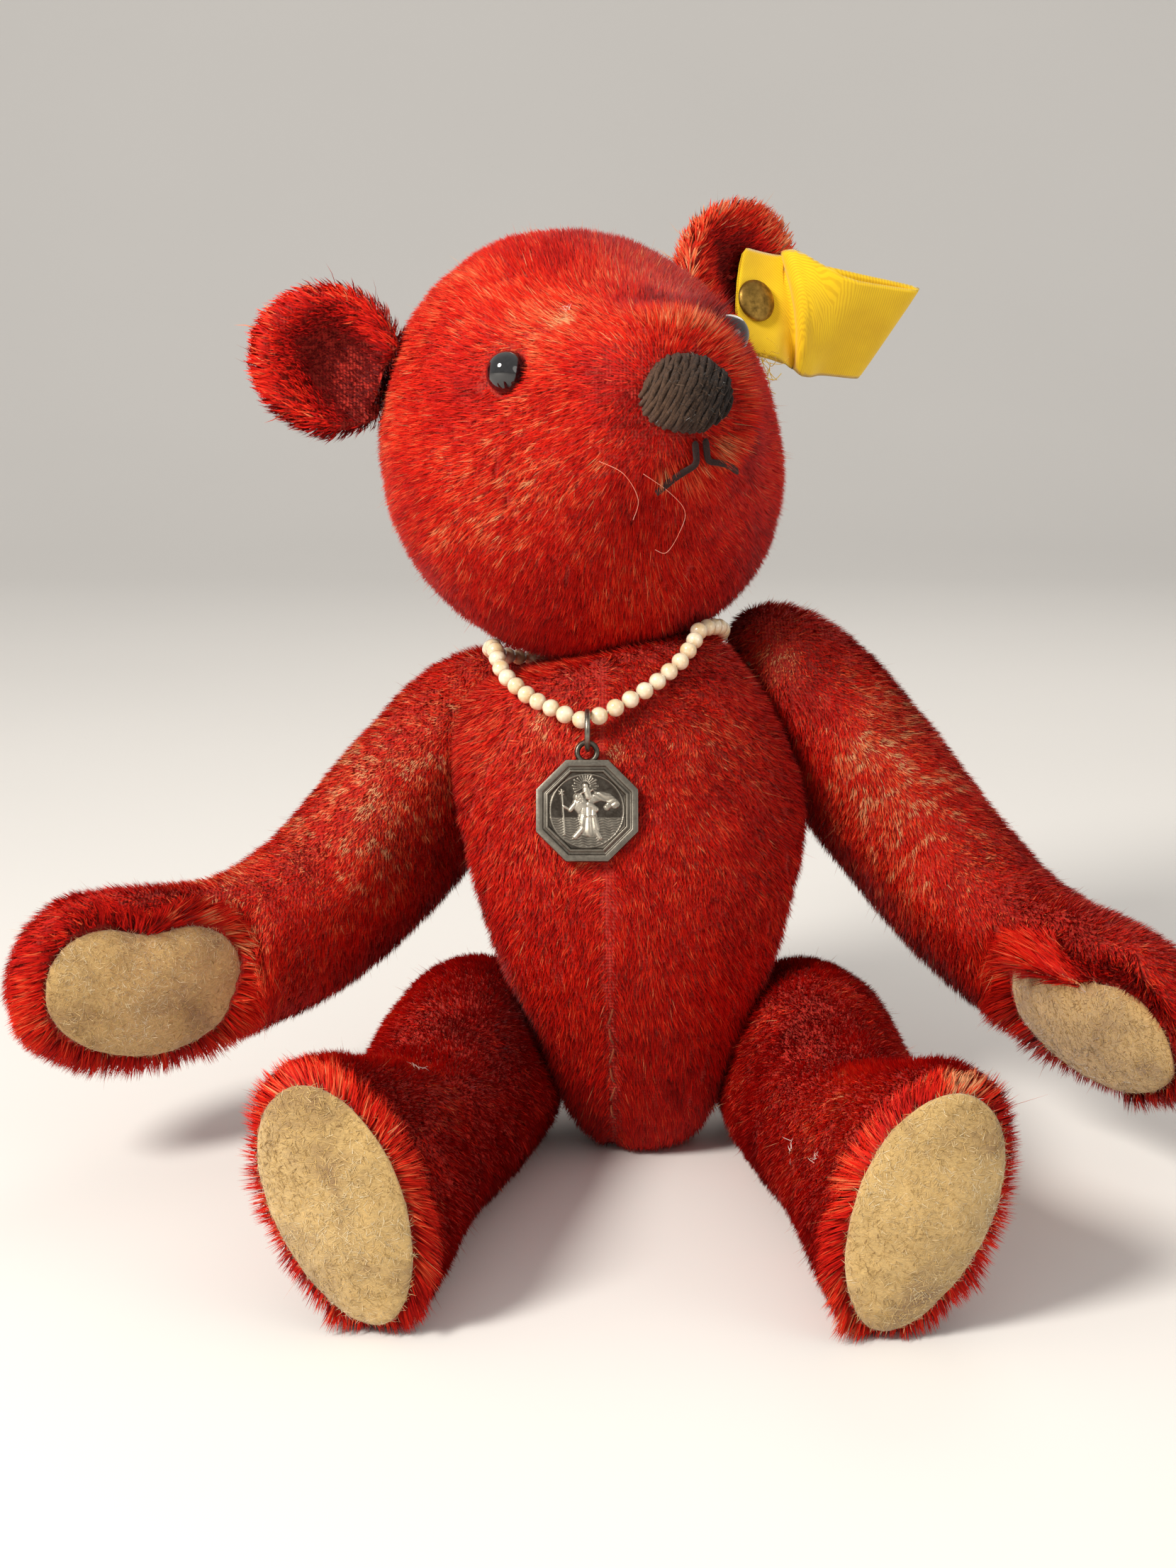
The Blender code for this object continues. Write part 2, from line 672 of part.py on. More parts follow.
def build_eye(side, frames, head, tree):
    name = "eye_left" if side > 0 else "eye_right"
    start = (EYE_LEFT_SEAT if side > 0 else EYE_RIGHT_SEAT) + Vector((0, -HEAD_LENGTH, 0))
    hit, normal, _, _ = tree.ray_cast(start, Vector((0, 1, 0)))
    normal = (normal + Vector((0, -0.25, 0))).normalized()
    matrix = normal.to_track_quat("Z", "Y").to_matrix().to_4x4()
    matrix.translation = hit
    radius = EYE_DIAMETER / 2
    shank = EYE_SHANK_DIAMETER / 2
    steps = 4
    dome = [(radius * math.sin(a), EYE_DEPTH * math.cos(a))
            for a in (math.pi / 2 * i / steps for i in range(steps + 1))]
    back = GAP
    profile = [(r, z + back) for r, z in dome] + [(radius * 0.9, back - 0.0), (shank, back), (shank, -EYE_SHANK_LENGTH),
                                                  (0, -EYE_SHANK_LENGTH)]
    profile = [p for i, p in enumerate(profile) if i == 0 or (Vector(p) - Vector(profile[i - 1])).length > 1e-6]
    eye = turned(name, profile, 12, material("black_glass", (0.004, 0.004, 0.005), 0.05))
    seat_depth = 1.2 * MM
    place(eye, frames["head"], matrix @ Matrix.Translation((0, 0, -seat_depth)))
    socket_radius = radius + GAP
    hole = shank + GAP
    top = EYE_DEPTH * 2
    socket = turned(name + "_socket", ((0, top), (socket_radius, top), (socket_radius, 0), (hole, 0),
                                       (hole, -EYE_SHANK_LENGTH - GAP), (0, -EYE_SHANK_LENGTH - GAP)), 12, steel())
    cutter(socket, frames["head"], matrix @ Matrix.Translation((0, 0, -seat_depth)))
    boolean(head, socket)
    return eye


def build_nose(frames, head_seat, tree):
    """Laid wool stitches on the end of the muzzle, as one ridged cushion."""
    rings = 7
    columns = NOSE_STITCHES * 2 + 6
    start = Vector((0, -HEAD_LENGTH, NOSE_LIFT))
    hit, _, _, _ = tree.ray_cast(start, Vector((0, 1, 0)))

    def points_of(ring, angle):
        tilt = math.pi * ring / (rings - 1)
        across = math.sin(tilt) * math.cos(angle)
        up = math.sin(tilt) * math.sin(angle)
        ridge = NOSE_STITCH_RELIEF * math.cos(across * NOSE_STITCHES * math.pi)
        return Vector((across * NOSE_WIDTH / 2, -math.cos(tilt) * (NOSE_DEPTH / 2 + ridge), up * NOSE_HEIGHT / 2))

    nose = stuffed_form("nose_stitching", points_of, rings, columns, material("brown_wool", (0.04, 0.025, 0.015), 0.9),
                        levels=0)
    nose.modifiers.clear()
    place(nose, frames["head"], Matrix.Translation(hit + Vector((0, 0.5 * MM, 0))) @ Matrix.Rotation(-0.25, 4, "X"))
    boolean(nose, head_seat)
    return nose


def build_mouth(frames, tree):
    """Two threads that run down from the nose and part to either side."""
    lift = MOUTH_THREAD / 2 + GAP * 1.5
    top = NOSE_LIFT - NOSE_HEIGHT / 2 - 1.0 * MM
    for side, name in ((1, "mouth_stitch_left"), (-1, "mouth_stitch_right")):
        points = []
        apart = side * (MOUTH_THREAD / 2 + GAP)
        for step in range(4):
            points.append((apart, top - MOUTH_DROP * 0.55 * step / 3))
        for step in range(1, 5):
            share = step / 4
            points.append((apart + side * MOUTH_REACH * share, top - MOUTH_DROP * (0.55 + 0.45 * share ** 1.5)))
        route = []
        for x, z in points:
            origin = Vector((x, -HEAD_LENGTH, z - 4 * MM))
            direction = Vector((0, 1, 0.12)).normalized()
            hit, normal, _, _ = tree.ray_cast(origin, direction)
            route.append(hit + normal * lift)
        place(wire(name, route, MOUTH_THREAD, material("dark_thread", (0.03, 0.012, 0.008), 0.8)), frames["head"])


# Necklace and medal

def lift_off(tree, point, least):
    """The point, moved out where it is nearer than this to the surface."""
    nearest, normal, _, _ = tree.find_nearest(point)
    if (point - nearest).dot(normal) < least:
        return nearest + normal * least
    return point


def string_path(tree, head_tree, torso_to_head, share):
    """A point of the pearl string in the torso's frame, at a share of its way round the neck."""
    turn = 2 * math.pi * share
    from_front = abs((turn + math.pi) % (2 * math.pi) - math.pi)
    rise = min(1.0, from_front / STRING_RISE)
    height = (STRING_LOW + (STRING_HIGH - STRING_LOW) * (rise * 0.75 + 0.25 * rise ** 2)) * TORSO_LENGTH
    turn += STRING_TURN * max(0.0, 1 - from_front / math.pi)
    outward = Vector((math.sin(turn), -math.cos(turn), 0))
    start = Vector((0, 0, height)) + outward * TORSO_WIDTH
    hit, normal, _, _ = tree.ray_cast(start, -outward)
    away = PEARL_DIAMETER / 2 + GAP * 1.3
    away += STRING_OFF_CHEST * max(0.0, 1 - from_front / math.radians(30))
    point = hit + normal * away
    for _ in range(4):
        point = torso_to_head.inverted() @ lift_off(head_tree, torso_to_head @ point, PEARL_DIAMETER / 2 + GAP * 3)
        point = lift_off(tree, point, PEARL_DIAMETER / 2 + GAP * 1.3)
    return point


def build_pearls(frames, tree, head_tree):
    """The pearls on their thread, one closed string, and the point where the pendant hangs from it."""
    fine = 240
    torso_to_head = world_of(frames["head"]).inverted() @ world_of(frames["torso"])
    route = [string_path(tree, head_tree, torso_to_head, i / fine) for i in range(fine)]
    route = [(route[i - 1] + route[i] * 2 + route[(i + 1) % fine]) / 4 for i in range(fine)]
    lengths = [0.0]
    for i in range(fine):
        lengths.append(lengths[-1] + (route[(i + 1) % fine] - route[i]).length)
    count = int(lengths[-1] / PEARL_PITCH)
    pitch = lengths[-1] / count

    def along(distance):
        distance %= lengths[-1]
        i = next(k for k in range(fine) if lengths[k + 1] >= distance)
        mix = (distance - lengths[i]) / max(1e-9, lengths[i + 1] - lengths[i])
        return route[i].lerp(route[(i + 1) % fine], mix)

    rings = 4
    sides = 6
    bpy.ops.mesh.primitive_torus_add(major_segments=count * rings, minor_segments=sides, major_radius=1,
                                     minor_radius=0.1)
    pearls = bpy.context.active_object
    radius = PEARL_DIAMETER / 2
    stations = (0.0, 0.16, 0.5, 0.84)
    for vertex in pearls.data.vertices:
        x, y, z = vertex.co
        index = round(math.atan2(y, x) / (2 * math.pi) * count * rings) % (count * rings)
        bead, step = divmod(index, rings)
        local = stations[step] * pitch - pitch / 2
        thick = math.sqrt(max((PEARL_THREAD / 2) ** 2, radius ** 2 - local ** 2))
        place_at = (bead + stations[step]) * pitch
        centre = along(place_at)
        ahead = (along(place_at + 0.4 * MM) - along(place_at - 0.4 * MM)).normalized()
        side = ahead.cross(Vector((0, 0, 1))).normalized()
        up = side.cross(ahead)
        around = math.atan2(z, math.hypot(x, y) - 1)
        vertex.co = centre + (side * math.cos(around) + up * math.sin(around)) * thick
    pearls.name = "pearl_string"
    pearls.data.name = "pearl_string"
    bm = bmesh.new()
    bm.from_mesh(pearls.data)
    made = mesh_object("pearl_string", bm, material("cream_pearl", (0.80, 0.71, 0.55), 0.22))
    bpy.data.objects.remove(pearls)
    made.name = "pearl_string"
    place(made, frames["torso"])
    return route[0]


def hanging_frame(frames, tree, at):
    """The pendant's hinge at its place on the string: X level, and Z leaning back until the medal lies on the chest."""
    to_torso = world_of(frames["torso"]).inverted()
    hinge = Matrix.Translation(to_torso.inverted() @ at)
    reach = MEDAL_WIDTH / 2
    for degrees in range(60):
        leaning = hinge @ Matrix.Rotation(math.radians(-degrees), 4, "X")
        low = []
        for row in range(-4, 5):
            for column in range(-2, 3):
                point = Vector((reach * column / 2.5, MEDAL_THICKNESS / 2 + GAP, -medal_centre_drop() - reach * row / 4))
                point = to_torso @ leaning @ point
                nearest, skin, _, _ = tree.find_nearest(point)
                low.append((point - nearest).dot(skin))
        if min(low) > 0:
            break
    empty = bpy.data.objects.new("pendant_hinge", None)
    empty.empty_display_size = 0.01
    BEAR.objects.link(empty)
    empty.parent = frames["torso"]
    empty.matrix_basis = to_torso @ leaning
    return empty


def ring_rise():
    """How far above the thread's middle the jump ring's wire rests, in the groove between two pearls."""
    reach = PEARL_DIAMETER / 2 + RING_WIRE / 2 + GAP
    return math.sqrt(reach ** 2 - (PEARL_PITCH / 2) ** 2) + 0.1 * MM


def bail_drop():
    ring_low = ring_rise() - RING_DIAMETER
    return -(ring_low - GAP)


def medal_centre_drop():
    return bail_drop() + BAIL_DIAMETER / 2 - 0.1 * MM + MEDAL_WIDTH / 2


def torus(name, diameter, wire_diameter, made_of, sides=16, around=6):
    bpy.ops.mesh.primitive_torus_add(major_segments=sides, minor_segments=around, major_radius=diameter / 2,
                                     minor_radius=wire_diameter / 2)
    obj = bpy.context.active_object
    for owner in list(obj.users_collection):
        owner.objects.unlink(obj)
    obj.name = name
    obj.data.name = name
    obj.data.materials.append(made_of)
    obj.data.shade_smooth()
    return obj


def build_medal(frames, hinge):
    ring = torus("jump_ring", RING_DIAMETER, RING_WIRE, silver())
    upright = Matrix.Rotation(math.pi / 2, 4, "Y")
    place(ring, hinge, Matrix.Translation((0, 0, ring_rise() - RING_DIAMETER / 2)) @ upright)
    corner = 1 / math.cos(math.pi / 8)
    half = MEDAL_THICKNESS / 2
    outer = MEDAL_WIDTH / 2
    inner = outer - MEDAL_FRAME
    field = inner - MEDAL_FRAME * 0.55
    profile = ((0, half - MEDAL_STEP * 2), (field * corner, half - MEDAL_STEP * 2), (field * corner, half - MEDAL_STEP),
               (inner * corner, half - MEDAL_STEP), (inner * corner, half), ((outer - 0.35 * MM) * corner, half),
               (outer * corner, half - 0.35 * MM), (outer * corner, -half), (0, -half))
    medal = turned("medal", profile, 8, silver())
    facing = Matrix.Rotation(math.pi / 2, 4, "X") @ Matrix.Rotation(math.pi / 8, 4, "Z")
    centre = Matrix.Translation((0, 0, -medal_centre_drop()))
    place(medal, hinge, centre @ facing)
    disc = turned("medal_field", ((0, MEDAL_STEP), (MEDAL_FIELD_DIAMETER / 2, MEDAL_STEP),
                                  (MEDAL_FIELD_DIAMETER / 2, -MEDAL_STEP), (0, -MEDAL_STEP)), 32, silver())
    cutter(disc, hinge, centre @ facing @ Matrix.Translation((0, 0, half - MEDAL_STEP * 2 + MEDAL_STEP * 0.45)))
    boolean(medal, disc)
    bail = torus("medal_bail", BAIL_DIAMETER, BAIL_WIRE, silver())
    cutter(bail, hinge, Matrix.Translation((0, 0, -bail_drop())) @ Matrix.Rotation(math.pi / 2, 4, "X"))
    boolean(medal, bail, "UNION")


# Ear ribbon and its button

def ribbon_course(across):
    """The ribbon seen on its edge, from -1 at its lower edge to 1 at its upper edge: how far out from the button, and
    how far off the ear. Both ends lie under the button. The far end is a fold and the near end bulges to the front."""
    end = BUTTON_DIAMETER * 0.45
    layer = RIBBON_THICKNESS + GAP
    thick = RIBBON_FOLD_RADIUS * 2
    fold = RIBBON_LENGTH + RIBBON_FOLD_SKEW * across
    hook = RIBBON_HOOK - RIBBON_HOOK_SKEW * across
    return ((-end, 0), (0, 0), (end, 0), (fold * 0.5, 0), (fold - thick, 0), (fold, thick / 2), (fold - thick, thick),
            (fold * 0.65, thick + 0.3 * (RIBBON_BULGE - thick)), (hook + 4 * MM, RIBBON_BULGE - 0.4 * MM),
            (hook + 1 * MM, RIBBON_BULGE), (hook, RIBBON_BULGE * 0.72), (hook + 0.6 * MM, RIBBON_BULGE * 0.4),
            (end + 1.8 * MM, layer + 0.35 * MM), (end * 0.7, layer), (-end * 0.3, layer), (-end, layer))


def smooth_point(points, share):
    """A point at a share of the way along a smooth line through the points."""
    place_at = share * (len(points) - 1)
    i = min(int(place_at), len(points) - 2)
    mix = place_at - i
    p0, p1, p2, p3 = (Vector(points[max(0, min(len(points) - 1, k))]) for k in (i - 1, i, i + 1, i + 2))
    return 0.5 * (2 * p1 + (p2 - p0) * mix + (2 * p0 - 5 * p1 + 4 * p2 - p3) * mix ** 2
                  + (3 * p1 - p0 - 3 * p2 + p3) * mix ** 3)


def build_ribbon(frames, ear, ear_matrix, head_tree):
    """A folded ribbon, and the button that pins both its ends to the ear."""
    ear_tree = surface_tree(ear)
    start = Vector((RIBBON_SEAT_ACROSS * EAR_WIDTH / 2, -EAR_WIDTH, RIBBON_SEAT_UP * EAR_HEIGHT / 2))
    hit, normal, _, _ = ear_tree.ray_cast(start, Vector((0, 1, 0)))
    seat_at = ear_matrix @ hit
    seat_out = (ear_matrix.to_3x3() @ normal).normalized()
    to_ear = ear_matrix.inverted()
    world_to_head = world_of(frames["head"]).inverted().to_3x3()
    run = (world_to_head @ RIBBON_ALONG).normalized()
    up = world_to_head @ RIBBON_UP
    up = (up - up.dot(run) * run).normalized()
    front = run.cross(up)
    seat_run = (run - run.dot(seat_out) * seat_out).normalized()
    seat_up = seat_out.cross(seat_run)
    lift = GAP + RIBBON_THICKNESS / 2
    flat_end = BUTTON_DIAMETER * 0.6
    face_radius = BUTTON_DIAMETER * 0.85
    bm = bmesh.new()
    bmesh.ops.create_grid(bm, x_segments=28, y_segments=3, size=1)
    for vertex in bm.verts:
        across = vertex.co.y
        x, off = smooth_point(ribbon_course(across), (vertex.co.x + 1) / 2)
        turn = max(0.0, min(1.0, (x - flat_end) / (RIBBON_LENGTH * 0.3)))
        turn = turn * turn * (3 - 2 * turn)
        width_way = seat_up.lerp(up, turn).normalized()
        out_way = seat_out.lerp(front, turn).normalized()
        middle = seat_at + seat_out * lift + seat_run * min(x, flat_end) + run * max(0.0, x - flat_end)
        point = middle + width_way * (across * RIBBON_WIDTH / 2) + out_way * off
        least = lift + (off if off < 2 * (RIBBON_THICKNESS + GAP) else 0)
        clear = ear_matrix @ lift_off(ear_tree, to_ear @ point, least)
        from_button = (point - seat_at).length / face_radius
        point = point.lerp(clear, max(0.0, min(1.0, from_button * 3 - 2)))
        vertex.co = lift_off(head_tree, point, least)
    ribbon = mesh_object("ear_ribbon", bm, material("yellow_ribbon", (0.85, 0.62, 0.01), 0.6))
    weave = ribbon.modifiers.new("Weave", "SOLIDIFY")
    weave.thickness = RIBBON_THICKNESS
    weave.offset = 0
    place(ribbon, frames["head"])
    seat = Matrix((seat_run, seat_up, seat_out)).transposed().to_4x4()
    seat.translation = seat_at
    shank = BUTTON_SHANK_DIAMETER / 2
    low = lift + RIBBON_THICKNESS * 1.5 + GAP * 2
    rim = 0.5 * MM
    radius = BUTTON_DIAMETER / 2
    dome = [(radius * math.sin(math.pi / 2 * i / 4), low + rim + (BUTTON_DEPTH - rim) * math.cos(math.pi / 2 * i / 4))
            for i in range(5)]
    profile = dome + [(radius, low), (shank, low), (shank, -BUTTON_SHANK_LENGTH), (0, -BUTTON_SHANK_LENGTH)]
    place(turned("ear_button", profile, 16, material("dull_brass", (0.30, 0.20, 0.05), 0.45, 1.0)), frames["head"], seat)
    hole = shank + GAP
    end = -BUTTON_SHANK_LENGTH - GAP
    drill = turned("ribbon_hole", ((0, low), (hole, low), (hole, end), (0, end)), 12, steel())
    boolean(ribbon, cutter(drill, frames["head"], seat))
    above = EAR_THICKNESS
    face = turned("ear_face", ((0, above), (face_radius, above), (face_radius, 0), (hole, 0), (hole, end), (0, end)), 16,
                  steel())
    boolean(ear, cutter(face, frames["head"], seat))


def main():
    global BEAR, CUTTERS
    clear_scene()
    BEAR = new_collection("jointed_mohair_bear")
    CUTTERS = new_collection("cutters", hidden=True)
    frames = build_frames()
    floor = half_space("floor_flat", None, FLIP)
    torso = build_torso(frames, floor)
    torso_tree = surface_tree(torso)
    head = build_head(frames)
    tree = surface_tree(head)
    hanging_point = build_pearls(frames, torso_tree, tree)
    build_medal(frames, hanging_frame(frames, torso_tree, hanging_point))
    head_seat = grown_head(frames)
    arm = (ARM_RINGS, arm_spine, ARM_WIDTH, ARM_THICKNESS)
    leg = (LEG_RINGS, leg_spine, LEG_WIDTH, LEG_THICKNESS)
    arm_right = build_limb("arm_right", *arm, 1, frames["shoulder_right"])
    arm_left = build_limb("arm_left", *arm, -1, frames["shoulder_left"])
    leg_right = build_limb("leg_right", *leg, 1, frames["hip_right"])
    leg_left = build_limb("leg_left", *leg, -1, frames["hip_left"])
    boolean(leg_right, floor)
    boolean(leg_left, floor)
    build_paw_pad("paw_pad_right", arm_right, frames["shoulder_right"], 1)
    build_paw_pad("paw_pad_left", arm_left, frames["shoulder_left"], -1)
    build_sole("sole_pad_right", leg_right, frames["hip_right"], 1)
    build_sole("sole_pad_left", leg_left, frames["hip_left"], -1)
    ear_right, _ = build_ear(-1, frames, head_seat)
    ear_left, ear_left_matrix = build_ear(1, frames, head_seat)
    build_ribbon(frames, ear_left, ear_left_matrix, tree)
    build_eye(1, frames, head, tree)
    build_eye(-1, frames, head, tree)
    build_nose(frames, head_seat, tree)
    build_mouth(frames, tree)
    for name, limb, diameter in (("neck", head, NECK_DISC_DIAMETER), ("shoulder_right", arm_right, ARM_DISC_DIAMETER),
                                 ("shoulder_left", arm_left, ARM_DISC_DIAMETER),
                                 ("hip_right", leg_right, LEG_DISC_DIAMETER),
                                 ("hip_left", leg_left, LEG_DISC_DIAMETER)):
        joint_flats(frames[name], torso, limb, diameter, name)
        joint_hardware(frames[name], name, diameter)


main()
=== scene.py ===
"""Dresses the seated jointed bear: mohair pile, felt pads, glass eyes, wool nose, pearls, medal and ear ribbon."""

import json
import math

import bpy
import numpy as np
from mathutils import Matrix, Vector
from mathutils.bvhtree import BVHTree

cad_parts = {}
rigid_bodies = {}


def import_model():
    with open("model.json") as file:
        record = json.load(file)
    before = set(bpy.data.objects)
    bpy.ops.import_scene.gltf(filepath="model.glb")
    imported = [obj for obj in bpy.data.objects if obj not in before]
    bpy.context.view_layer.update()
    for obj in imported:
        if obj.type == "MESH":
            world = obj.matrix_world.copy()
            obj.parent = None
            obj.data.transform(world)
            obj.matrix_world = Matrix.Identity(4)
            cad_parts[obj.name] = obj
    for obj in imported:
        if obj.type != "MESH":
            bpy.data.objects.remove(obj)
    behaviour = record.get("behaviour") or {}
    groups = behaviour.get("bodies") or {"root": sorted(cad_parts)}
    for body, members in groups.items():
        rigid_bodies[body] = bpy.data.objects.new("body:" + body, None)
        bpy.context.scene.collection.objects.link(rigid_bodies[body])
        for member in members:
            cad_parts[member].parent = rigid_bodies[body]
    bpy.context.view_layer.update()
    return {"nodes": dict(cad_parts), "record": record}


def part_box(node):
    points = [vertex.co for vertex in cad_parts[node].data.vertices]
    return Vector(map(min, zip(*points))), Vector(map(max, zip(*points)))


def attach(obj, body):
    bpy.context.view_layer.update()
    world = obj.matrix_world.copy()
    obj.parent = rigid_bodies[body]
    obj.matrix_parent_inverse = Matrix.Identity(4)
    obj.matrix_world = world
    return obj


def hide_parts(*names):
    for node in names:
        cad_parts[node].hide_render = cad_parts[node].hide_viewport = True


bl_info = {
    "name": "Worn mohair bear",
    "version": (1, 0, 0),
    "blender": (4, 5, 0),
    "location": "3D View > Sidebar > Bear",
    "description": "Dresses the jointed bear in mohair, felt, glass, wool, pearls and silver",
    "category": "Object",
}

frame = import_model()
MM = 0.001
MOST_BLADES = 172_000  # locks on one piece
SHADES = 48  # steps of shade across a pile's colours
PLUSH = ("torso", "head", "arm_left", "arm_right", "leg_left", "leg_right", "ear_left", "ear_right")
PADS = ("paw_pad_left", "paw_pad_right", "sole_pad_left", "sole_pad_right")
BODY_OF = {node: body for body, nodes in frame["record"]["behaviour"]["bodies"].items() for node in nodes}

# Where things are on the bear in millimetres, and the ways they face
DOWN = np.array((0.0, 0.0, -1.0))
NOSE_TIP = np.array((7.6, -15.0, 127.6))
HEAD_CENTRE = np.array((-7.9, 23.4, 118.3))
HEAD_FORWARD = Vector((0.39, -0.875, 0.27)).normalized()
MEDAL_CENTRE = Vector((-7.35, -14.40, 60.88))
MEDAL_UP = Vector((0.0, 0.3256, 0.9455))
MEDAL_OUT = Vector((0.0, -0.9455, 0.3256))
RING_CENTRE = Vector((-7.3, -10.15, 73.35))
# The way the pile lies on each piece
NAP = {
    "torso": (0.02, -0.05, -1.0),
    "arm_left": (0.52, -0.42, -0.74),
    "arm_right": (-0.58, -0.48, -0.66),
    "leg_left": (0.15, -0.98, -0.12),
    "leg_right": (-0.22, -0.96, -0.12),
}
# Across the rows of the weave on each piece, and along them
ROWS = {
    "torso": ((0.0, 0.1, 1.0), (1.0, 0.0, 0.0)),
    "head": ((-0.29, 0.16, 0.94), (0.9, 0.42, 0.0)),
    "arm_left": ((0.56, -0.43, -0.71), (0.74, 0.05, 0.66)),
    "arm_right": ((-0.60, -0.48, -0.63), (0.72, -0.05, -0.69)),
    "leg_left": ((0.15, -0.98, -0.12), (0.9, 0.1, 0.4)),
    "leg_right": ((-0.22, -0.96, -0.12), (0.9, -0.1, 0.4)),
}
# Worn places: node, centre, reach, strength of the bare dashes, strength of the overall fading
WORN = (
    ("arm_right", (-46, 14, 60), 27, 1.0, 0.10),
    ("arm_right", (-70, 0, 42), 17, 0.8, 0.06),
    ("arm_right", (-24, 21, 79), 4.5, 0.4, 0.42),
    ("arm_left", (46, 6, 62), 24, 0.9, 0.08),
    ("arm_left", (26, 18, 80), 5.5, 0.4, 0.42),
    ("torso", (-2, -12, 60), 22, 0.62, 0.02),
    ("torso", (8, -15, 40), 20, 0.25, 0.0),
    ("torso", (-15, -3, 73.7), 2.6, 0.0, 0.36),
    ("torso", (-2.7, -8.6, 69.4), 2.2, 0.0, 0.46),
    ("head", (-22, -4, 110), 20, 0.75, 0.05),
    ("head", (-4, -12, 116), 12, 0.55, 0.06),
    ("head", (-10.3, -3, 139), 2.6, 0.0, 0.36),
    ("head", (-14, -3, 132), 8, 0.25, 0.06),
    ("head", (12.3, -1.2, 139.7), 2.4, 0.0, 0.50),
    ("leg_left", (43.7, -79.3, 37), 4.0, 0.0, 0.55),
    ("leg_left", (34, -50, 34), 14, 0.3, 0.0),
    ("leg_right", (-36, -50, 34), 14, 0.3, 0.0),
)
# Where the pile is long and pale under the mouth
TUFTS = (
    ((9.6, -12.2, 114.8), 3.0),
    ((14.2, -9.8, 119.4), 2.2),
    ((13.6, -9.4, 111.6), 2.4),
    ((4.4, -14.0, 115.4), 2.2),
)
# Share of locks that stand out of the pile, and the way that the side painted lighter faces: painted light on pile
# facing up and towards the key lamp, painted shade on pile facing down
STRAY_SHARE = 0.006
PAINTED_LIGHT_SIDE = (-0.45, -0.2, 0.87)
LINT = {
    "head": ((-10.3, -4.0, 139.6),),
    "leg_left": ((27.5, -70.0, 22.0), (22.0, -60.0, 20.0)),
    "arm_left": ((76.0, -24.0, 36.0),),
    "leg_right": ((-30.0, -60.0, 35.0),),
}
# Lamps: name, place, size across, which setting powers it
LAMPS = (
    ("key", (-0.50, -0.48, 0.58), 0.26, "key"),
    ("fill", (0.60, -0.45, 0.30), 0.45, "fill"),
    ("rim", (0.20, 0.55, 0.55), 0.40, "fill"),
)
LAMPS_AIM = (0, 0, 0.08)
CAMERA_PLACE = (-0.0072, -0.3865, 0.139)
CAMERA_DOWN = math.radians(11.2)


# Sizes and colours a user may change

def tone(name, description, value):
    return bpy.props.FloatVectorProperty(
        name=name, description=description, default=value, subtype="COLOR", size=3, min=0.0, max=1.0)


def length(name, description, value):
    return bpy.props.FloatProperty(
        name=name, description=description, default=value, subtype="DISTANCE", unit="LENGTH", min=0.0)


class MohairSettings(bpy.types.PropertyGroup):
    """Sizes and colours of the stuffed mohair pieces."""

    pile: length("Pile", "Length of the worn pile", 2.0 * MM)
    bristle: length("Bristle", "Length of the pile round the pads", 4.6 * MM)
    blade: length("Fibre width", "Width of one lock of fibres at its root", 0.222 * MM)
    density: bpy.props.FloatProperty(name="Density", description="Locks on a square millimetre", default=10.6, min=0.5)
    lean: bpy.props.FloatProperty(
        name="Lean", description="Angle of the pile from upright", default=math.radians(55), subtype="ANGLE")
    swell: length("Stuffing", "How far the stuffing may push the cloth out", 1.2 * MM)
    deep: tone("Deep red", "Pile in the shade of its neighbours", (0.22, 0.0016, 0.0010))
    red: tone("Red", "Most of the pile", (0.60, 0.0052, 0.0024))
    bright: tone("Bright red", "Sunlit pile", (0.84, 0.022, 0.0055))
    coral: tone("Coral", "Faded tips", (0.91, 0.17, 0.060))
    worn: tone("Worn", "Bare weave and bleached tips", (0.87, 0.42, 0.20))


class TrimSettings(bpy.types.PropertyGroup):
    """Sizes and colours of the felt, eyes, nose, necklace, ribbon and button."""

    felt: tone("Felt", "Wool felt of the pads", (0.72, 0.475, 0.175))
    felt_dirt: tone("Felt dirt", "Handled places on the pads", (0.30, 0.17, 0.065))
    # Both nose wools also hold painted light: the light one stands for the side that faces the key lamp, the dark one
    # for the side in shade
    wool_dark: tone("Dark wool", "Right side of the nose", (0.009, 0.006, 0.0045))
    wool_light: tone("Light wool", "Faded left side of the nose", (0.13, 0.070, 0.042))
    thread: tone("Thread", "Mouth thread", (0.012, 0.005, 0.004))
    pearl: tone("Pearl", "Glass pearls", (0.86, 0.75, 0.56))
    pearl_size: length("Pearl size", "Diameter of a pearl", 3.0 * MM)
    silver: tone("Silver", "Rubbed silver", (0.62, 0.56, 0.46))
    tarnish: tone("Tarnish", "Silver in the hollows", (0.055, 0.045, 0.036))
    ribbon: tone("Ribbon", "Woven ribbon in the ear", (0.93, 0.62, 0.005))
    brass: tone("Brass", "Button in the ear", (0.34, 0.20, 0.045))


class StageSettings(bpy.types.PropertyGroup):
    """The floor and the lamps."""

    floor: tone("Floor", "Plain pale floor", (0.80, 0.785, 0.76))
    key: bpy.props.FloatProperty(name="Key lamp", description="Power of the large lamp", default=8.5, subtype="POWER")
    fill: bpy.props.FloatProperty(name="Fill lamp", description="Power of the fill lamp", default=0.8, subtype="POWER")
    sky: bpy.props.FloatProperty(name="Room light", description="Strength of the even light", default=0.56)


# Materials

def add_node(tree, kind, **settings):
    made = tree.nodes.new(kind)
    for name, value in settings.items():
        setattr(made, name, value)
    return made


def finish(name, roughness, **constants):
    """A new material with its shader's fixed numbers set."""
    material = bpy.data.materials.new(name)
    material.use_nodes = True
    tree = material.node_tree
    shader = tree.nodes["Principled BSDF"]
    shader.inputs["Roughness"].default_value = roughness
    for socket, value in constants.items():
        shader.inputs[socket.replace("_", " ")].default_value = value
    return material, tree, shader


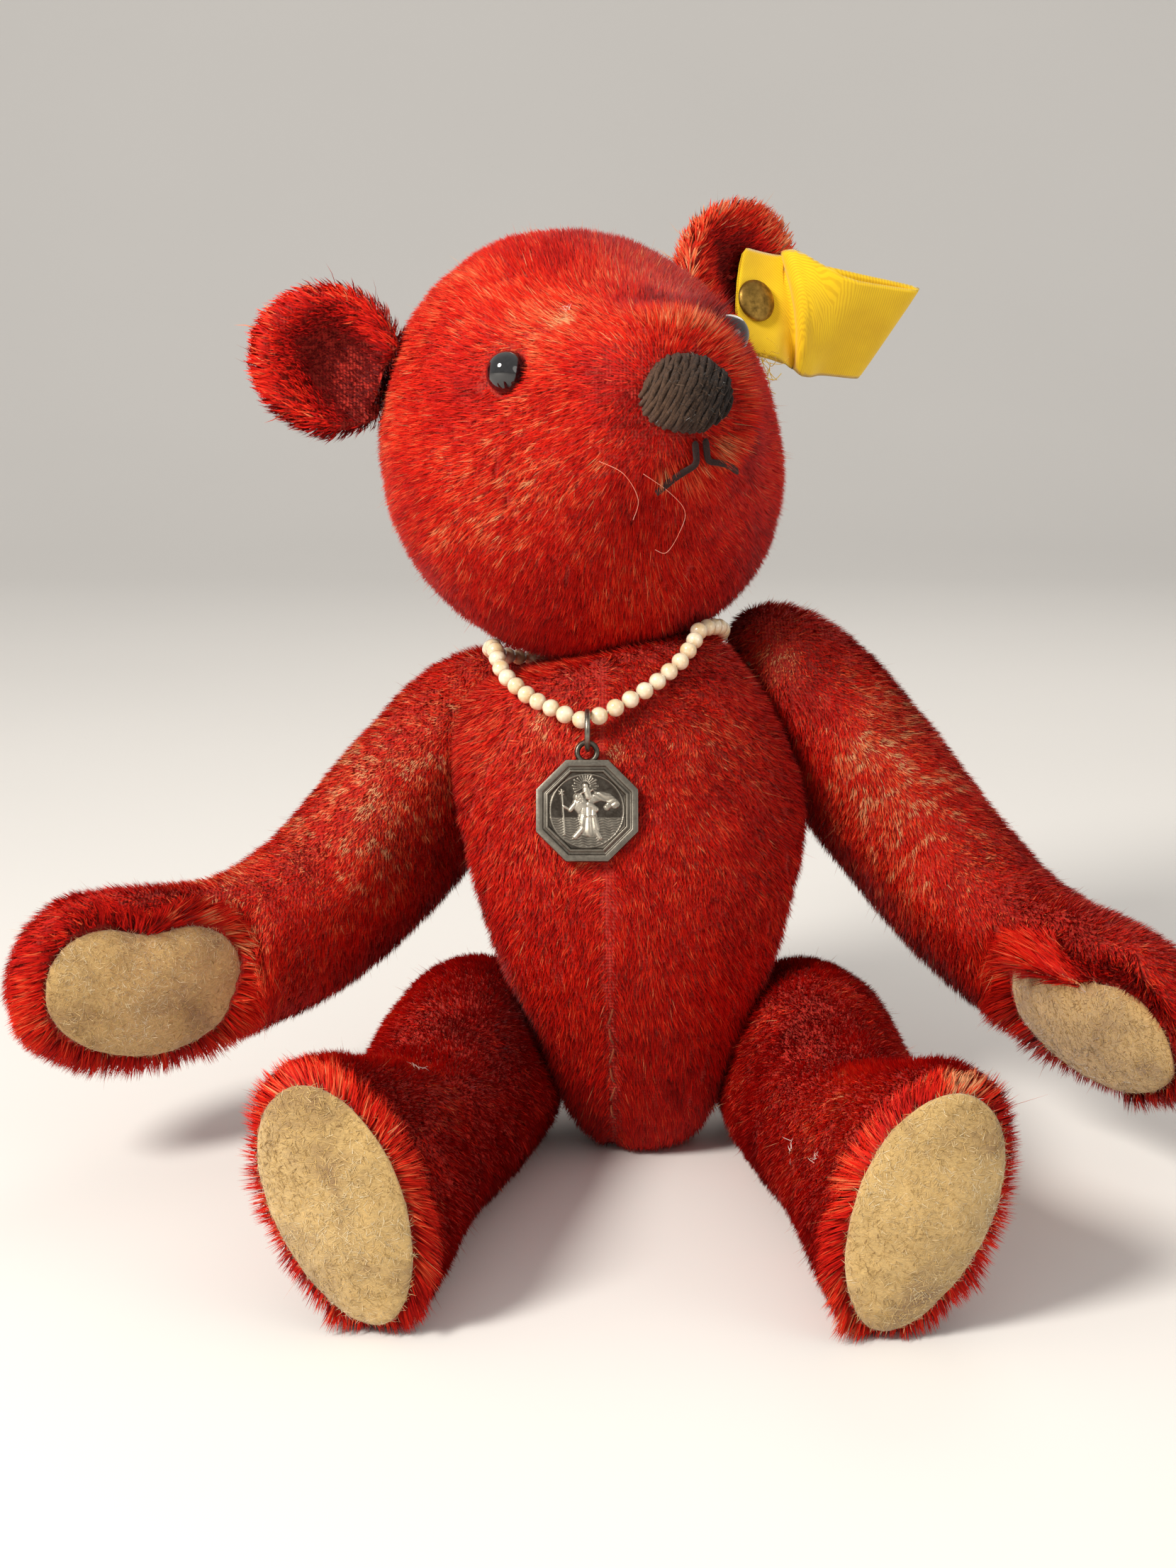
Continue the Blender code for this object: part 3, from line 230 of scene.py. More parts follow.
def place_node(tree, scale=(1, 1, 1), turn=(0, 0, 0), centre=(0, 0, 0)):
    """Object coordinates, scaled, turned and moved."""
    where = add_node(tree, "ShaderNodeTexCoord")
    mapping = add_node(tree, "ShaderNodeMapping")
    mapping.inputs["Scale"].default_value = scale
    mapping.inputs["Rotation"].default_value = turn
    mapping.inputs["Location"].default_value = centre
    tree.links.new(where.outputs["Object"], mapping.inputs["Vector"])
    return mapping.outputs["Vector"]


def noise_node(tree, place, size, detail=3.0, rough=0.55, distortion=0.0):
    """A noise with blotches of about this size, in metres."""
    made = add_node(tree, "ShaderNodeTexNoise")
    made.inputs["Scale"].default_value = 1 / size
    made.inputs["Detail"].default_value = detail
    made.inputs["Roughness"].default_value = rough
    made.inputs["Distortion"].default_value = distortion
    tree.links.new(place, made.inputs["Vector"])
    return made.outputs["Fac"]


def wave_node(tree, place, size, distortion=0.0, direction="X"):
    made = add_node(tree, "ShaderNodeTexWave", wave_type="BANDS", bands_direction=direction)
    made.inputs["Scale"].default_value = 0.3142 / size
    made.inputs["Distortion"].default_value = distortion
    tree.links.new(place, made.inputs["Vector"])
    return made.outputs["Fac"]


def ramp_node(tree, factor, stops):
    """Colours along a factor, from (place, colour) pairs. A number stands for a grey."""
    made = add_node(tree, "ShaderNodeValToRGB")
    row = made.color_ramp.elements
    while len(row) < len(stops):
        row.new(0.5)
    for element, (at, colour) in zip(row, stops):
        element.position = at
        element.color = (*([colour] * 3 if isinstance(colour, (int, float)) else colour), 1.0)
    tree.links.new(factor, made.inputs["Fac"])
    return made.outputs["Color"]


def blend_node(tree, first, second, factor, how="MIX"):
    """Two colours, each an output or fixed, mixed by an output or a number."""
    made = add_node(tree, "ShaderNodeMix", data_type="RGBA", blend_type=how)
    for socket, value in ((made.inputs[0], factor), (made.inputs[6], first), (made.inputs[7], second)):
        if isinstance(value, bpy.types.NodeSocket):
            tree.links.new(value, socket)
        elif isinstance(value, (int, float)):
            socket.default_value = value
        else:
            socket.default_value = (*value, 1.0)
    return made.outputs[2]


def bump_node(tree, shader, height, strength, distance):
    made = add_node(tree, "ShaderNodeBump")
    made.inputs["Strength"].default_value = strength
    made.inputs["Distance"].default_value = distance
    tree.links.new(height, made.inputs["Height"])
    tree.links.new(made.outputs["Normal"], shader.inputs["Normal"])


def mixed_number(tree, first, second, how="ADD"):
    made = add_node(tree, "ShaderNodeMath", operation=how)
    for socket, value in zip(made.inputs, (first, second)):
        if isinstance(value, (int, float)):
            socket.default_value = value
        else:
            tree.links.new(value, socket)
    return made.outputs["Value"]


def dimmed(colour, share):
    return [part * share for part in colour]


def paint(tree, shader, value, socket="Base Color"):
    tree.links.new(value, shader.inputs[socket])


def speckled(name, roughness, size, stops, grain=(3.0, 0.55, 0.0), stretch=(1, 1, 1), dull=None, **constants):
    """A finish coloured by one noise, which may also set its roughness: (material, tree, shader, noise)."""
    material, tree, shader = finish(name, roughness, **constants)
    noise = noise_node(tree, place_node(tree, stretch), size, *grain)
    paint(tree, shader, ramp_node(tree, noise, stops))
    if dull:
        paint(tree, shader, ramp_node(tree, noise, dull), "Roughness")
    return material, tree, shader, noise


def backing_material(s):
    """Cotton backing cloth dyed with the pile, seen between the fibres, and kept darker than the pile's red as painted
    shade between the fibres.
    """
    material, tree, shader = finish("mohair_backing", 0.92)
    place = place_node(tree)
    weave = mixed_number(tree, *(wave_node(tree, place, 0.55 * MM, 1.5, way) for way in "ZX"))
    # Painted shade: the backing's base runs from the deep red, the colour of pile in shade, to a dimmed red
    base = ramp_node(tree, noise_node(tree, place, 9 * MM), ((0.3, s.deep), (0.7, dimmed(s.red, 0.75))))
    worn = ramp_node(tree, weave, ((0.5, 0), (1.0, 0.10)))
    paint(tree, shader, blend_node(tree, base, s.coral, worn))
    bump_node(tree, shader, weave, 0.6, 0.2 * MM)
    return material


def pile_material(name, stops, roots=0.5, sheen=0.03):
    """Locks of fibre: the map's width picks the shade, its height runs from root to tip, and the roots are darkened as
    painted shade.
    """
    material, tree, shader = finish(name, 0.58, Sheen_Weight=sheen, Sheen_Roughness=0.4, Specular_IOR_Level=0.1)
    where = add_node(tree, "ShaderNodeUVMap", uv_map="OFBake")
    split = add_node(tree, "ShaderNodeSeparateXYZ")
    tree.links.new(where.outputs["UV"], split.inputs["Vector"])
    shade = ramp_node(tree, split.outputs["X"], stops)
    # Painted shade: darker towards the roots, where the locks shade one another
    depth = ramp_node(tree, split.outputs["Y"], ((0.0, roots), (0.45, 0.86), (1.0, 1.0)))
    paint(tree, shader, blend_node(tree, shade, depth, 1.0, "MULTIPLY"))
    return material


def felt_material(s):
    """Pressed wool felt: matted fibres, grey-brown where it was handled."""
    material, tree, shader = finish(
        "wool_felt", 0.95, Sheen_Weight=0.35, Sheen_Roughness=0.6, Specular_IOR_Level=0.15)
    dirt = noise_node(tree, place_node(tree), 11 * MM, 5.0, 0.62, 0.6)
    hairs = noise_node(tree, place_node(tree, (1, 1, 2.6), (0.5, 0.7, 0.3)), 0.7 * MM, 5.0, 0.7, 1.2)
    mottle = ramp_node(tree, dirt, ((0.32, s.felt_dirt), (0.52, dimmed(s.felt, 0.82)), (0.7, s.felt)))
    fine = ramp_node(tree, hairs, ((0.3, (0.62, 0.60, 0.56)), (0.6, 1.0)))
    paint(tree, shader, blend_node(tree, mottle, fine, 0.8, "MULTIPLY"))
    bump_node(tree, shader, hairs, 0.8, 0.25 * MM)
    return material


def glass_material():
    """Black glass, a little dusty and scratched."""
    return speckled("black_glass_eye", 0.06, 0.5 * MM, ((0.45, (0.003, 0.003, 0.004)), (0.85, (0.02, 0.018, 0.02))),
                    (6.0, 0.75), dull=((0.5, 0.05), (0.8, 0.2)), Coat_Weight=1.0, Coat_Roughness=0.03)[0]


def wool_material(name, dark, light, size, painted_side_light=0.0):
    """Twisted wool: darker in the twist; with painted light, lighter towards the bear's right, where the key lamp
    stands, and darker towards its left.
    """
    material, tree, shader = finish(name, 0.9, Sheen_Weight=0.08, Specular_IOR_Level=0.2)
    fibre = noise_node(tree, place_node(tree), size, 4.0, 0.7, 1.5)
    across = add_node(tree, "ShaderNodeSeparateXYZ")
    tree.links.new(place_node(tree, (70, 70, 70)), across.inputs["Vector"])
    twist = mixed_number(tree, fibre, 0.75, "MULTIPLY")
    # Painted light and shade across the wool: lower towards the bear's left, away from the key lamp
    fade = mixed_number(tree, twist, mixed_number(tree, across.outputs["X"], -painted_side_light, "MULTIPLY"))
    paint(tree, shader, ramp_node(tree, mixed_number(tree, fade, painted_side_light * 0.5), ((0.22, dark), (0.58, light))))
    bump_node(tree, shader, fibre, 0.9, 0.3 * MM)
    return material


def pearl_material(s):
    """Coated glass pearl: cream, warmer in blotches, with a soft gloss."""
    warm = (s.pearl[0] * 0.86, s.pearl[1] * 0.72, s.pearl[2] * 0.52)
    return speckled("glass_pearl", 0.16, 2.2 * MM, ((0.35, warm), (0.62, s.pearl)),
                    Coat_Weight=0.9, Coat_Roughness=0.06, Specular_IOR_Level=0.7)[0]


def silver_material(name, s, from_relief=False):
    """Old silver: rubbed bright on what stands out, dark in the hollows."""
    material, tree, shader = finish(name, 0.36, Metallic=1.0)
    place = place_node(tree)
    factor = noise_node(tree, place, 1.6 * MM, 6.0, 0.65)
    fine = noise_node(tree, place, 0.25 * MM, 4.0, 0.6)
    stops = ((0.3, dimmed(s.silver, 0.22)), (0.55, dimmed(s.silver, 0.42)), (0.8, dimmed(s.silver, 0.75)))
    if from_relief:
        high = add_node(tree, "ShaderNodeAttribute", attribute_name="relief").outputs["Fac"]
        factor = mixed_number(tree, high, mixed_number(tree, factor, 0.35, "MULTIPLY"))
        stops = ((0.16, s.tarnish), (0.45, dimmed(s.silver, 0.38)), (1.0, dimmed(s.silver, 0.78)))
    paint(tree, shader, ramp_node(tree, factor, stops))
    paint(tree, shader, ramp_node(tree, fine, ((0.3, 0.28), (0.7, 0.5))), "Roughness")
    bump_node(tree, shader, fine, 0.18, 0.06 * MM)
    return material


def brass_material(s):
    """Dull brass, browned in blotches."""
    stops = ((0.32, dimmed(s.brass, 0.3)), (0.58, s.brass), (0.8, dimmed(s.brass, 1.7)))
    material, tree, shader, _ = speckled(
        "worn_brass", 0.42, 1.8 * MM, stops, (5.0, 0.65), dull=((0.3, 0.6), (0.7, 0.32)), Metallic=1.0)
    bump_node(tree, shader, noise_node(tree, place_node(tree), 0.3 * MM), 0.2, 0.05 * MM)
    return material


def ribbon_material(s):
    """Yellow twill: fine ribs at a slant to the ribbon's edge."""
    material, tree, shader = finish(
        "twill_ribbon", 0.72, Sheen_Weight=0.3, Sheen_Roughness=0.5, Specular_IOR_Level=0.25)
    place = place_node(tree, (1, 1, 1), (0.3, 0.2, -0.38))
    twill = wave_node(tree, place, 0.24 * MM, 0.3, "DIAGONAL")
    soil = noise_node(tree, place, 9 * MM, 4.0)
    ribs = ramp_node(tree, twill, ((0.15, (s.ribbon[0] * 0.86, s.ribbon[1] * 0.80, 0.003)), (0.6, s.ribbon)))
    dirt = ramp_node(tree, soil, ((0.3, (0.86, 0.80, 0.62)), (0.6, 1)))
    paint(tree, shader, blend_node(tree, ribs, dirt, 0.85, "MULTIPLY"))
    bump_node(tree, shader, twill, 0.3, 0.06 * MM)
    return material


def board_material():
    """Brown hardboard with pressed fibres."""
    material, tree, shader, fibre = speckled(
        "hardboard_disc", 0.85, 1.1 * MM, ((0.3, (0.07, 0.035, 0.016)), (0.7, (0.22, 0.12, 0.06))),
        (6.0, 0.7, 0.8), (1, 3, 1))
    bump_node(tree, shader, fibre, 0.4, 0.1 * MM)
    return material


def steel_material():
    """Zinc plated steel, dulled with age."""
    return speckled("zinc_plate", 0.4, 1.3 * MM, ((0.3, (0.32, 0.33, 0.35)), (0.7, (0.6, 0.61, 0.62))), (4.0,),
                    dull=((0.3, 0.5), (0.7, 0.32)), Metallic=1.0)[0]


def loose_hair_material(s):
    """Single loose hairs, faded to pink."""
    return speckled("faded_hair", 0.6, 3 * MM, ((0.3, s.coral), (0.7, (0.85, 0.5, 0.4))), Sheen_Weight=0.2)[0]


# Making and placing pieces

def solo(piece):
    """Selects this piece alone."""
    if bpy.context.mode != "OBJECT":
        bpy.ops.object.mode_set(mode="OBJECT")
    bpy.ops.object.select_all(action="DESELECT")
    piece.select_set(True)
    bpy.context.view_layer.objects.active = piece


def apply_all(piece):
    solo(piece)
    for modifier in list(piece.modifiers):
        bpy.ops.object.modifier_apply(modifier=modifier.name)


def settle(piece, name, body, material, stands_for=()):
    """Names a finished piece, puts its place in its mesh, and gives it its finish and its body."""
    solo(piece)
    bpy.ops.object.transform_apply(location=True, rotation=True, scale=True)
    piece.name = name
    piece.data.name = name
    piece.data.materials.clear()
    piece.data.materials.append(material)
    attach(piece, body)
    if stands_for:
        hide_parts(*stands_for)
    return piece


def select_only(piece, kind, wanted):
    """Selects the piece's corners, edges or faces that are wanted, and no others."""
    bpy.ops.object.mode_set(mode="EDIT")
    bpy.ops.mesh.select_mode(type=kind)
    bpy.ops.mesh.select_all(action="DESELECT")
    bpy.ops.object.mode_set(mode="OBJECT")
    parts = {"VERT": piece.data.vertices, "EDGE": piece.data.edges, "FACE": piece.data.polygons}[kind]
    for part in parts:
        part.select = wanted(part)


def coordinates(mesh):
    found = np.empty(len(mesh.vertices) * 3)
    mesh.vertices.foreach_get("co", found)
    return found.reshape(-1, 3)


def normals_of(mesh):
    found = np.empty(len(mesh.vertices) * 3)
    mesh.vertices.foreach_get("normal", found)
    return found.reshape(-1, 3)


def middle_of(node):
    """The middle of a CAD node's box, in millimetres."""
    low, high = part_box(node)
    return (np.array(low) + np.array(high)) * 500


def subdivided(piece, levels):
    rounding = piece.modifiers.new("rounding", "SUBSURF")
    rounding.levels = levels
    rounding.render_levels = levels
    apply_all(piece)
    bpy.ops.object.shade_smooth()


def set_coordinates(mesh, points):
    mesh.vertices.foreach_set("co", np.ascontiguousarray(points, np.float32).ravel())
    mesh.update()


def merged_copy(node):
    """A copy of a CAD node's mesh, with its loose triangles merged."""
    piece = bpy.data.objects.new(node + "_copy", frame["nodes"][node].data.copy())
    bpy.context.scene.collection.objects.link(piece)
    solo(piece)
    bpy.ops.object.mode_set(mode="EDIT")
    bpy.ops.mesh.select_all(action="SELECT")
    bpy.ops.mesh.remove_doubles(threshold=0.00001)
    bpy.ops.mesh.normals_make_consistent(inside=False)
    bpy.ops.object.mode_set(mode="OBJECT")
    return piece


def rounded_copy(node, levels):
    """A merged copy made of quads, rounded by subdivision."""
    piece = merged_copy(node)
    bpy.ops.object.mode_set(mode="EDIT")
    bpy.ops.mesh.select_all(action="SELECT")
    bpy.ops.mesh.tris_convert_to_quads(face_threshold=0.8, shape_threshold=0.8)
    bpy.ops.object.mode_set(mode="OBJECT")
    subdivided(piece, levels)
    return piece


def tree_of(nodes):
    """One search tree of these CAD nodes."""
    points, faces = [], []
    for node in nodes:
        mesh = frame["nodes"][node].data
        base = len(points)
        points.extend(v.co.copy() for v in mesh.vertices)
        faces.extend(tuple(base + i for i in p.vertices) for p in mesh.polygons)
    return BVHTree.FromPolygons(points, faces)


def others_than(*own):
    return tree_of([n for n in frame["nodes"] if n not in own])


def strands(paths, thick, sides=2, closed=False):
    """Round threads along these lines of points, as one mesh."""
    curve = bpy.data.curves.new("strands", "CURVE")
    curve.dimensions = "3D"
    curve.bevel_depth = thick / 2
    curve.bevel_resolution = sides
    curve.use_fill_caps = not closed
    for path in paths:
        spline = curve.splines.new("POLY")
        spline.points.add(len(path) - 1)
        for point, at in zip(spline.points, path):
            point.co = (*at, 1.0)
        spline.use_cyclic_u = closed
    piece = bpy.data.objects.new("strands", curve)
    bpy.context.scene.collection.objects.link(piece)
    solo(piece)
    bpy.ops.object.convert(target="MESH")
    piece = bpy.context.active_object
    bpy.ops.object.shade_smooth()
    return piece


def smooth_line(points, steps):
    """A smooth line through these points."""
    out = []
    for i in range(len(points) - 1):
        a, b = points[max(0, i - 1)], points[i]
        c, d = points[i + 1], points[min(len(points) - 1, i + 2)]
        for k in range(steps):
            t = k / steps
            bent = (2 * a - 5 * b + 4 * c - d) * t ** 2 + (3 * b - a - 3 * c + d) * t ** 3
            out.append(0.5 * ((2 * b) + (c - a) * t + bent))
    return out + [points[-1]]


# Steady patterns over the skin

def key_of(cells):
    """One whole number for each cell of a grid."""
    a = np.floor(cells).astype(np.int64)
    return (a[:, 0] * 73856093) ^ (a[:, 1] * 19349663) ^ (a[:, 2] * 83492791)


def steady(cells, seed):
    """A steady number from 0 to 1 for each cell."""
    found = key_of(cells) ^ (seed * 2654435761)
    found = (found ^ (found >> 13)) * 1274126177
    return ((found ^ (found >> 16)) & 0xFFFFFF) / float(0xFFFFFF)


def blotches(points, size, seed):
    """Smooth noise from 0 to 1 with blotches of this size."""
    at = points / size
    base = np.floor(at)
    part = at - base
    part = part * part * (3 - 2 * part)
    total = np.zeros(len(points))
    for corner in range(8):
        step = np.array([corner & 1, corner >> 1 & 1, corner >> 2 & 1])
        weight = np.prod(np.where(step == 1, part, 1 - part), axis=1)
        total += weight * steady(base + step, seed)
    return total


def unit(vectors):
    return vectors / np.maximum(1e-9, np.linalg.norm(vectors, axis=1))[:, None]


def gap_to(points, place):
    return np.linalg.norm(points - np.array(place), axis=1)


def near(distance, reach, power=2):
    """1 at no distance, falling to 0 past this reach."""
    return np.exp(-(distance / reach) ** power)


def dots(first, second):
    return np.einsum("ij,ij->i", first, second)


def seam_x(z):
    """Where the seam down the front of the body stands at a height, in millimetres."""
    return -4.2 + (50 - z) * 0.03


def bare_dashes(points, along, across, seed, row=1.35, dash=2.9):
    """Strength of the short bare dashes, which lie across the piece in rows."""
    s = points @ np.array(along) + 1.6 * blotches(points, 9.0, seed)
    rows = np.floor(s / row)
    flat = np.zeros_like(rows)
    q = points @ np.array(across) / dash + 5 * steady(np.stack([rows, flat, flat], 1), seed)
    cell = np.floor(q)
    strength = steady(np.stack([rows, cell, flat], 1), seed + 1)
    middle = 1 - np.abs((s / row - rows) * 2 - 1) ** 3
    ends = 1 - np.abs((q - cell) * 2 - 1) ** 2
    return np.clip(strength * 1.5 - 0.45, 0, 1) * middle * ends


def worn_at(node, points, seed):
    """(bare dashes, fading) over a piece, from the worn places."""
    dashes = np.zeros(len(points))
    fading = np.zeros(len(points))
    for where, centre, reach, bare, fade in WORN:
        if where != node:
            continue
        gap = gap_to(points, centre) / reach
        gap *= 0.75 + 0.5 * blotches(points, reach * 0.4, seed + 7)
        fall = np.exp(-gap ** 2 * 1.6)
        dashes = np.maximum(dashes, bare * fall)
        fading = np.maximum(fading, fade * fall)
    if node in ROWS:
        size = (1.0, 1.9) if node == "head" else (1.35, 2.9)
        dashes = np.maximum(dashes, 0.12) * bare_dashes(points, *ROWS[node], seed, *size)
    return dashes, fading


def muzzle(points):
    """(rim, crease) of the muzzle, each from 0 to 1: the edge that stands out round it, and the fold behind that."""
    forward = np.array(HEAD_FORWARD)
    ahead = (points - NOSE_TIP) @ forward
    radius = gap_to(points, NOSE_TIP + ahead[:, None] * forward)
    bearing = unit(points - NOSE_TIP) @ np.array((0.72, 0.25, 0.45))
    beyond = np.clip(bearing * 2.0, 0, 1) * (ahead < 2)
    return beyond * near(radius - 12.6, 2.3), beyond * near(radius - 17.6, 2.7)


def ear_hollow(points, ups, node):
    """How deep in the ear's cup each point is, from 0 to 1."""
    forward = np.array(HEAD_FORWARD)
    centre = middle_of(node) + 2.4 * forward + np.array((3.4, 0, -3.6) if node == "ear_right" else (1.2, 0, -3.0))
    slanted = (points - centre) @ np.array(((1.0, 0, 0.25), (0, 1.0, 0), (0.25, 0, 0.95)))
    return (ups @ forward > 0.1) * near(gap_to(slanted, (0, 0, 0)), 8.2, 4)


# The stuffed pieces

def stuffed_form(node, s, seed):
    """The skin of a stuffed piece: swollen by its stuffing, lumpy, and clear of its neighbours."""
    small = node.startswith("ear")
    piece = merged_copy(node)
    cloth = piece.modifiers.new("cloth", "REMESH")
    cloth.mode = "VOXEL"
    cloth.voxel_size = (1.3 if small else 2.8) * MM
    apply_all(piece)
    start = coordinates(piece.data)
    if not small:
        swelling = piece.modifiers.new("stuffing", "CLOTH")
        swelling.settings.quality = 4
        swelling.settings.use_pressure = True
        swelling.settings.uniform_pressure_force = 4
        swelling.settings.effector_weights.gravity = 0
        for step in range(1, 21):
            bpy.context.scene.frame_set(step)
        apply_all(piece)
        moved = coordinates(piece.data) - start
        far = np.linalg.norm(moved, axis=1)
        share = np.minimum(1, s.swell / np.maximum(far, 1e-9))
        set_coordinates(piece.data, start + moved * share[:, None])
        bpy.context.scene.frame_set(1)
    subdivided(piece, 1)
    points = coordinates(piece.data)
    normals = normals_of(piece.data)
    lumps = blotches(points * 1000, 11, seed) + 0.5 * blotches(points * 1000, 5, seed + 3) - 0.75
    relief = lumps * (0.25 if small else 0.7)
    if small:
        relief -= 1.5 * ear_hollow(points * 1000, normals, node)
    elif node == "head":
        rim, crease = muzzle(points * 1000)
        relief += 0.9 * rim - 1.3 * crease
    points = points + normals * (relief * MM)[:, None]
    tree = others_than(node)
    for i, at in enumerate(points):
        found, normal, _, _ = tree.find_nearest(Vector(at), 2 * MM)
        if found is not None and (Vector(at) - found).dot(normal) < 0.2 * MM:
            points[i] = found + normal * (0.2 * MM)
    points[:, 2] = np.maximum(points[:, 2], 0.0)
    set_coordinates(piece.data, points)
    return piece


# The pile

def roots_on(skin, density, rng):
    """Points spread evenly over a skin, with its normals, in millimetres."""
    mesh = skin.data
    mesh.calc_loop_triangles()
    corners = np.empty(len(mesh.loop_triangles) * 3, np.int32)
    mesh.loop_triangles.foreach_get("vertices", corners)
    corners = corners.reshape(-1, 3)
    points = coordinates(mesh) * 1000
    normals = normals_of(mesh)
    a, b, c = (points[corners[:, k]] for k in range(3))
    areas = np.linalg.norm(np.cross(b - a, c - a), axis=1) / 2
    count = int(min(MOST_BLADES, areas.sum() * density))
    pick = rng.choice(len(areas), count, p=areas / areas.sum())
    r = np.sqrt(rng.random(count))
    t = rng.random(count)
    shares = np.stack([1 - r, r * (1 - t), r * t], 1)
    roots = sum(points[corners[pick, k]] * shares[:, k:k + 1] for k in range(3))
    ups = unit(sum(normals[corners[pick, k]] * shares[:, k:k + 1] for k in range(3)))
    return roots, ups


def gathered(tips, roots, size, pull, seed):
    """Tips drawn towards the middle of their own lock."""
    wobble = np.stack([blotches(roots, 4.0, seed + k) for k in range(3)], 1) * 2.0
    _, index = np.unique(key_of(roots / size + wobble), return_inverse=True)
    counts = np.bincount(index)
    middle = np.stack([np.bincount(index, tips[:, k]) / counts for k in range(3)], 1)
    return tips + (middle[index] - tips) * pull[:, None]


def lock_mesh(name, roots, tips, ups, widths, shades, rng, bent=False):
    """Flat tapering locks of fibre, shaded as the skin below them."""
    count = len(roots)
    blade = tips - roots
    side = unit(np.cross(unit(blade), ups) + 0.7 * rng.normal(size=(count, 3)) * 0.6)
    half = side * widths[:, None] / 2
    left, right = roots - half, roots + half
    turned = np.einsum("ij,ij->i", np.cross(right - left, tips - left), ups) < 0
    left[turned], right[turned] = right[turned].copy(), left[turned].copy()
    column = (np.clip(shades, 0, 0.999) * SHADES).astype(int)
    if bent:
        middle = (left + right) / 2 + blade * 0.55 + ups * (np.linalg.norm(blade, axis=1) * 0.11)[:, None]
        reach = (right - left) * 0.42
        corners = np.stack([left, right, middle + reach, middle - reach, tips], 1)
        faces = np.array([0, 1, 2, 3, 3, 2, 4])
        sizes = np.array([4, 3])
        u = np.array([0.1, 0.9, 0.85, 0.15, 0.5])
        v = np.array([0.02, 0.02, 0.55, 0.55, 0.98])
    else:
        corners = np.stack([left, right, tips], 1)
        faces = np.array([0, 1, 2])
        sizes = np.array([3])
        u = np.array([0.08, 0.92, 0.5])
        v = np.array([0.02, 0.02, 0.98])
    each = corners.shape[1]
    mesh = bpy.data.meshes.new(name)
    mesh.vertices.add(count * each)
    mesh.vertices.foreach_set("co", (corners * MM).astype(np.float32).ravel())
    mesh.loops.add(count * len(faces))
    mesh.loops.foreach_set("vertex_index", (np.arange(count)[:, None] * each + faces).astype(np.int32).ravel())
    mesh.polygons.add(count * len(sizes))
    starts = np.concatenate([[0], np.cumsum(sizes)[:-1]])
    mesh.polygons.foreach_set("loop_start", (np.arange(count)[:, None] * len(faces) + starts).astype(np.int32).ravel())
    mesh.polygons.foreach_set("use_smooth", np.ones(count * len(sizes), bool))
    mesh.update(calc_edges=True)
    layer = mesh.uv_layers.new(name="OFBake")
    places = np.stack([(column[:, None] + u[faces]) / SHADES, np.broadcast_to(v[faces], (count, len(faces)))], 2)
    layer.data.foreach_set("uv", places.astype(np.float32).ravel())
    soft = unit(ups + 0.30 * unit(blade) + 0.16 * rng.normal(size=(count, 3)))
    mesh.normals_split_custom_set(np.repeat(soft, len(faces), axis=0).tolist())
    piece = bpy.data.objects.new(name, mesh)
    bpy.context.scene.collection.objects.link(piece)
    return piece


def standing_room(roots, tips, ups, tree):
    """How much of each lock stays clear of the neighbours, from 0 to 1."""
    share = np.ones(len(roots))
    ways = tips - roots
    reach = np.linalg.norm(ways, axis=1)
    starts = (roots + ups * 0.06) * MM
    for i in range(len(roots)):
        hit = tree.ray_cast(Vector(starts[i]), Vector(ways[i]), reach[i] * MM)[3]
        if hit is not None:
            share[i] = max(0.0, hit / MM - 0.12) / reach[i]
    return share


def rim_gap(points, node):
    """(distance from each point to a pad in millimetres, 99 where it is far; the way out from the pad's middle)."""
    low, high = (np.array(corner) * 1000 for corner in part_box(node))
    close = np.all((points > low - 9) & (points < high + 9), axis=1)
    gaps = np.full(len(points), 99.0)
    tree = tree_of([node])
    for i in np.flatnonzero(close):
        found = tree.find_nearest(Vector(points[i]) * MM, 9 * MM)[3]
        if found is not None:
            gaps[i] = found * 1000
    return gaps, unit(points - (low + high) / 2)


def comb_head(roots, long, lean):
    """Shapes the head's pile: short at the nose, long at the muzzle's rim and round the mouth, with a painted
    highlight on the rim and painted shade in the crease behind it. Gives (lie, shade).
    """
    at_nose = near(gap_to(roots, NOSE_TIP), 11.0)
    long *= 1 - 0.22 * at_nose
    lean -= 0.35 * at_nose
    rim, crease = muzzle(roots)
    long *= 1 + 0.85 * rim - 0.35 * crease
    lean -= 0.45 * rim
    # Painted highlight on the muzzle's rim and painted shade in the crease behind it, on the side away from the key
    # lamp
    shade = 0.20 * rim - 0.34 * crease
    for centre, reach in TUFTS:
        tuft = near(gap_to(roots, centre), reach)
        long *= 1 + 1.1 * tuft
        lean -= 0.3 * tuft
        shade += 0.30 * tuft
    return unit(roots - NOSE_TIP) + 0.35 * DOWN, shade


def comb_ear(node, roots, ups, long):
    """Thins the pile in the ear's cup and darkens it there as painted shade. Gives (lie, shade)."""
    hollow = ear_hollow(roots, ups, node)
    long *= 1.5 - 0.95 * hollow
    # Painted shade: the pile in the ear's cup is darkened
    return unit(roots - HEAD_CENTRE), 0.14 - 0.70 * hollow


def part_at_seam(roots, ups, long, lie):
    """Parts the body's pile along the seam down its front."""
    side = roots[:, 0] - seam_x(roots[:, 2])
    front = ups[:, 1] < -0.2
    long *= 1 - 0.55 * front * near(side, 0.8)
    lie[:, 0] += 0.9 * front * near(side, 2.2) * np.sign(side)


def fringe_pad(node, roots, long, lean, lie, s, seed):
    """Makes a limb's pile long round its pad and turns it away from the pad. Gives how close to it each root is."""
    gaps, out = rim_gap(roots, ("paw_pad_" if node.startswith("arm") else "sole_pad_") + node[4:])
    rim = near(gaps, 4.2)
    lie[:] = lie * (1 - 0.65 * rim)[:, None] + out * (1.5 * rim)[:, None]
    long += (s.bristle / MM - long) * rim * (0.6 + 0.6 * blotches(roots, 3.0, seed + 5))
    lean -= 0.25 * rim
    long *= 1 - 0.6 * rim * np.clip(0.5 - dots(unit(lie), out), 0, 1)
    return rim


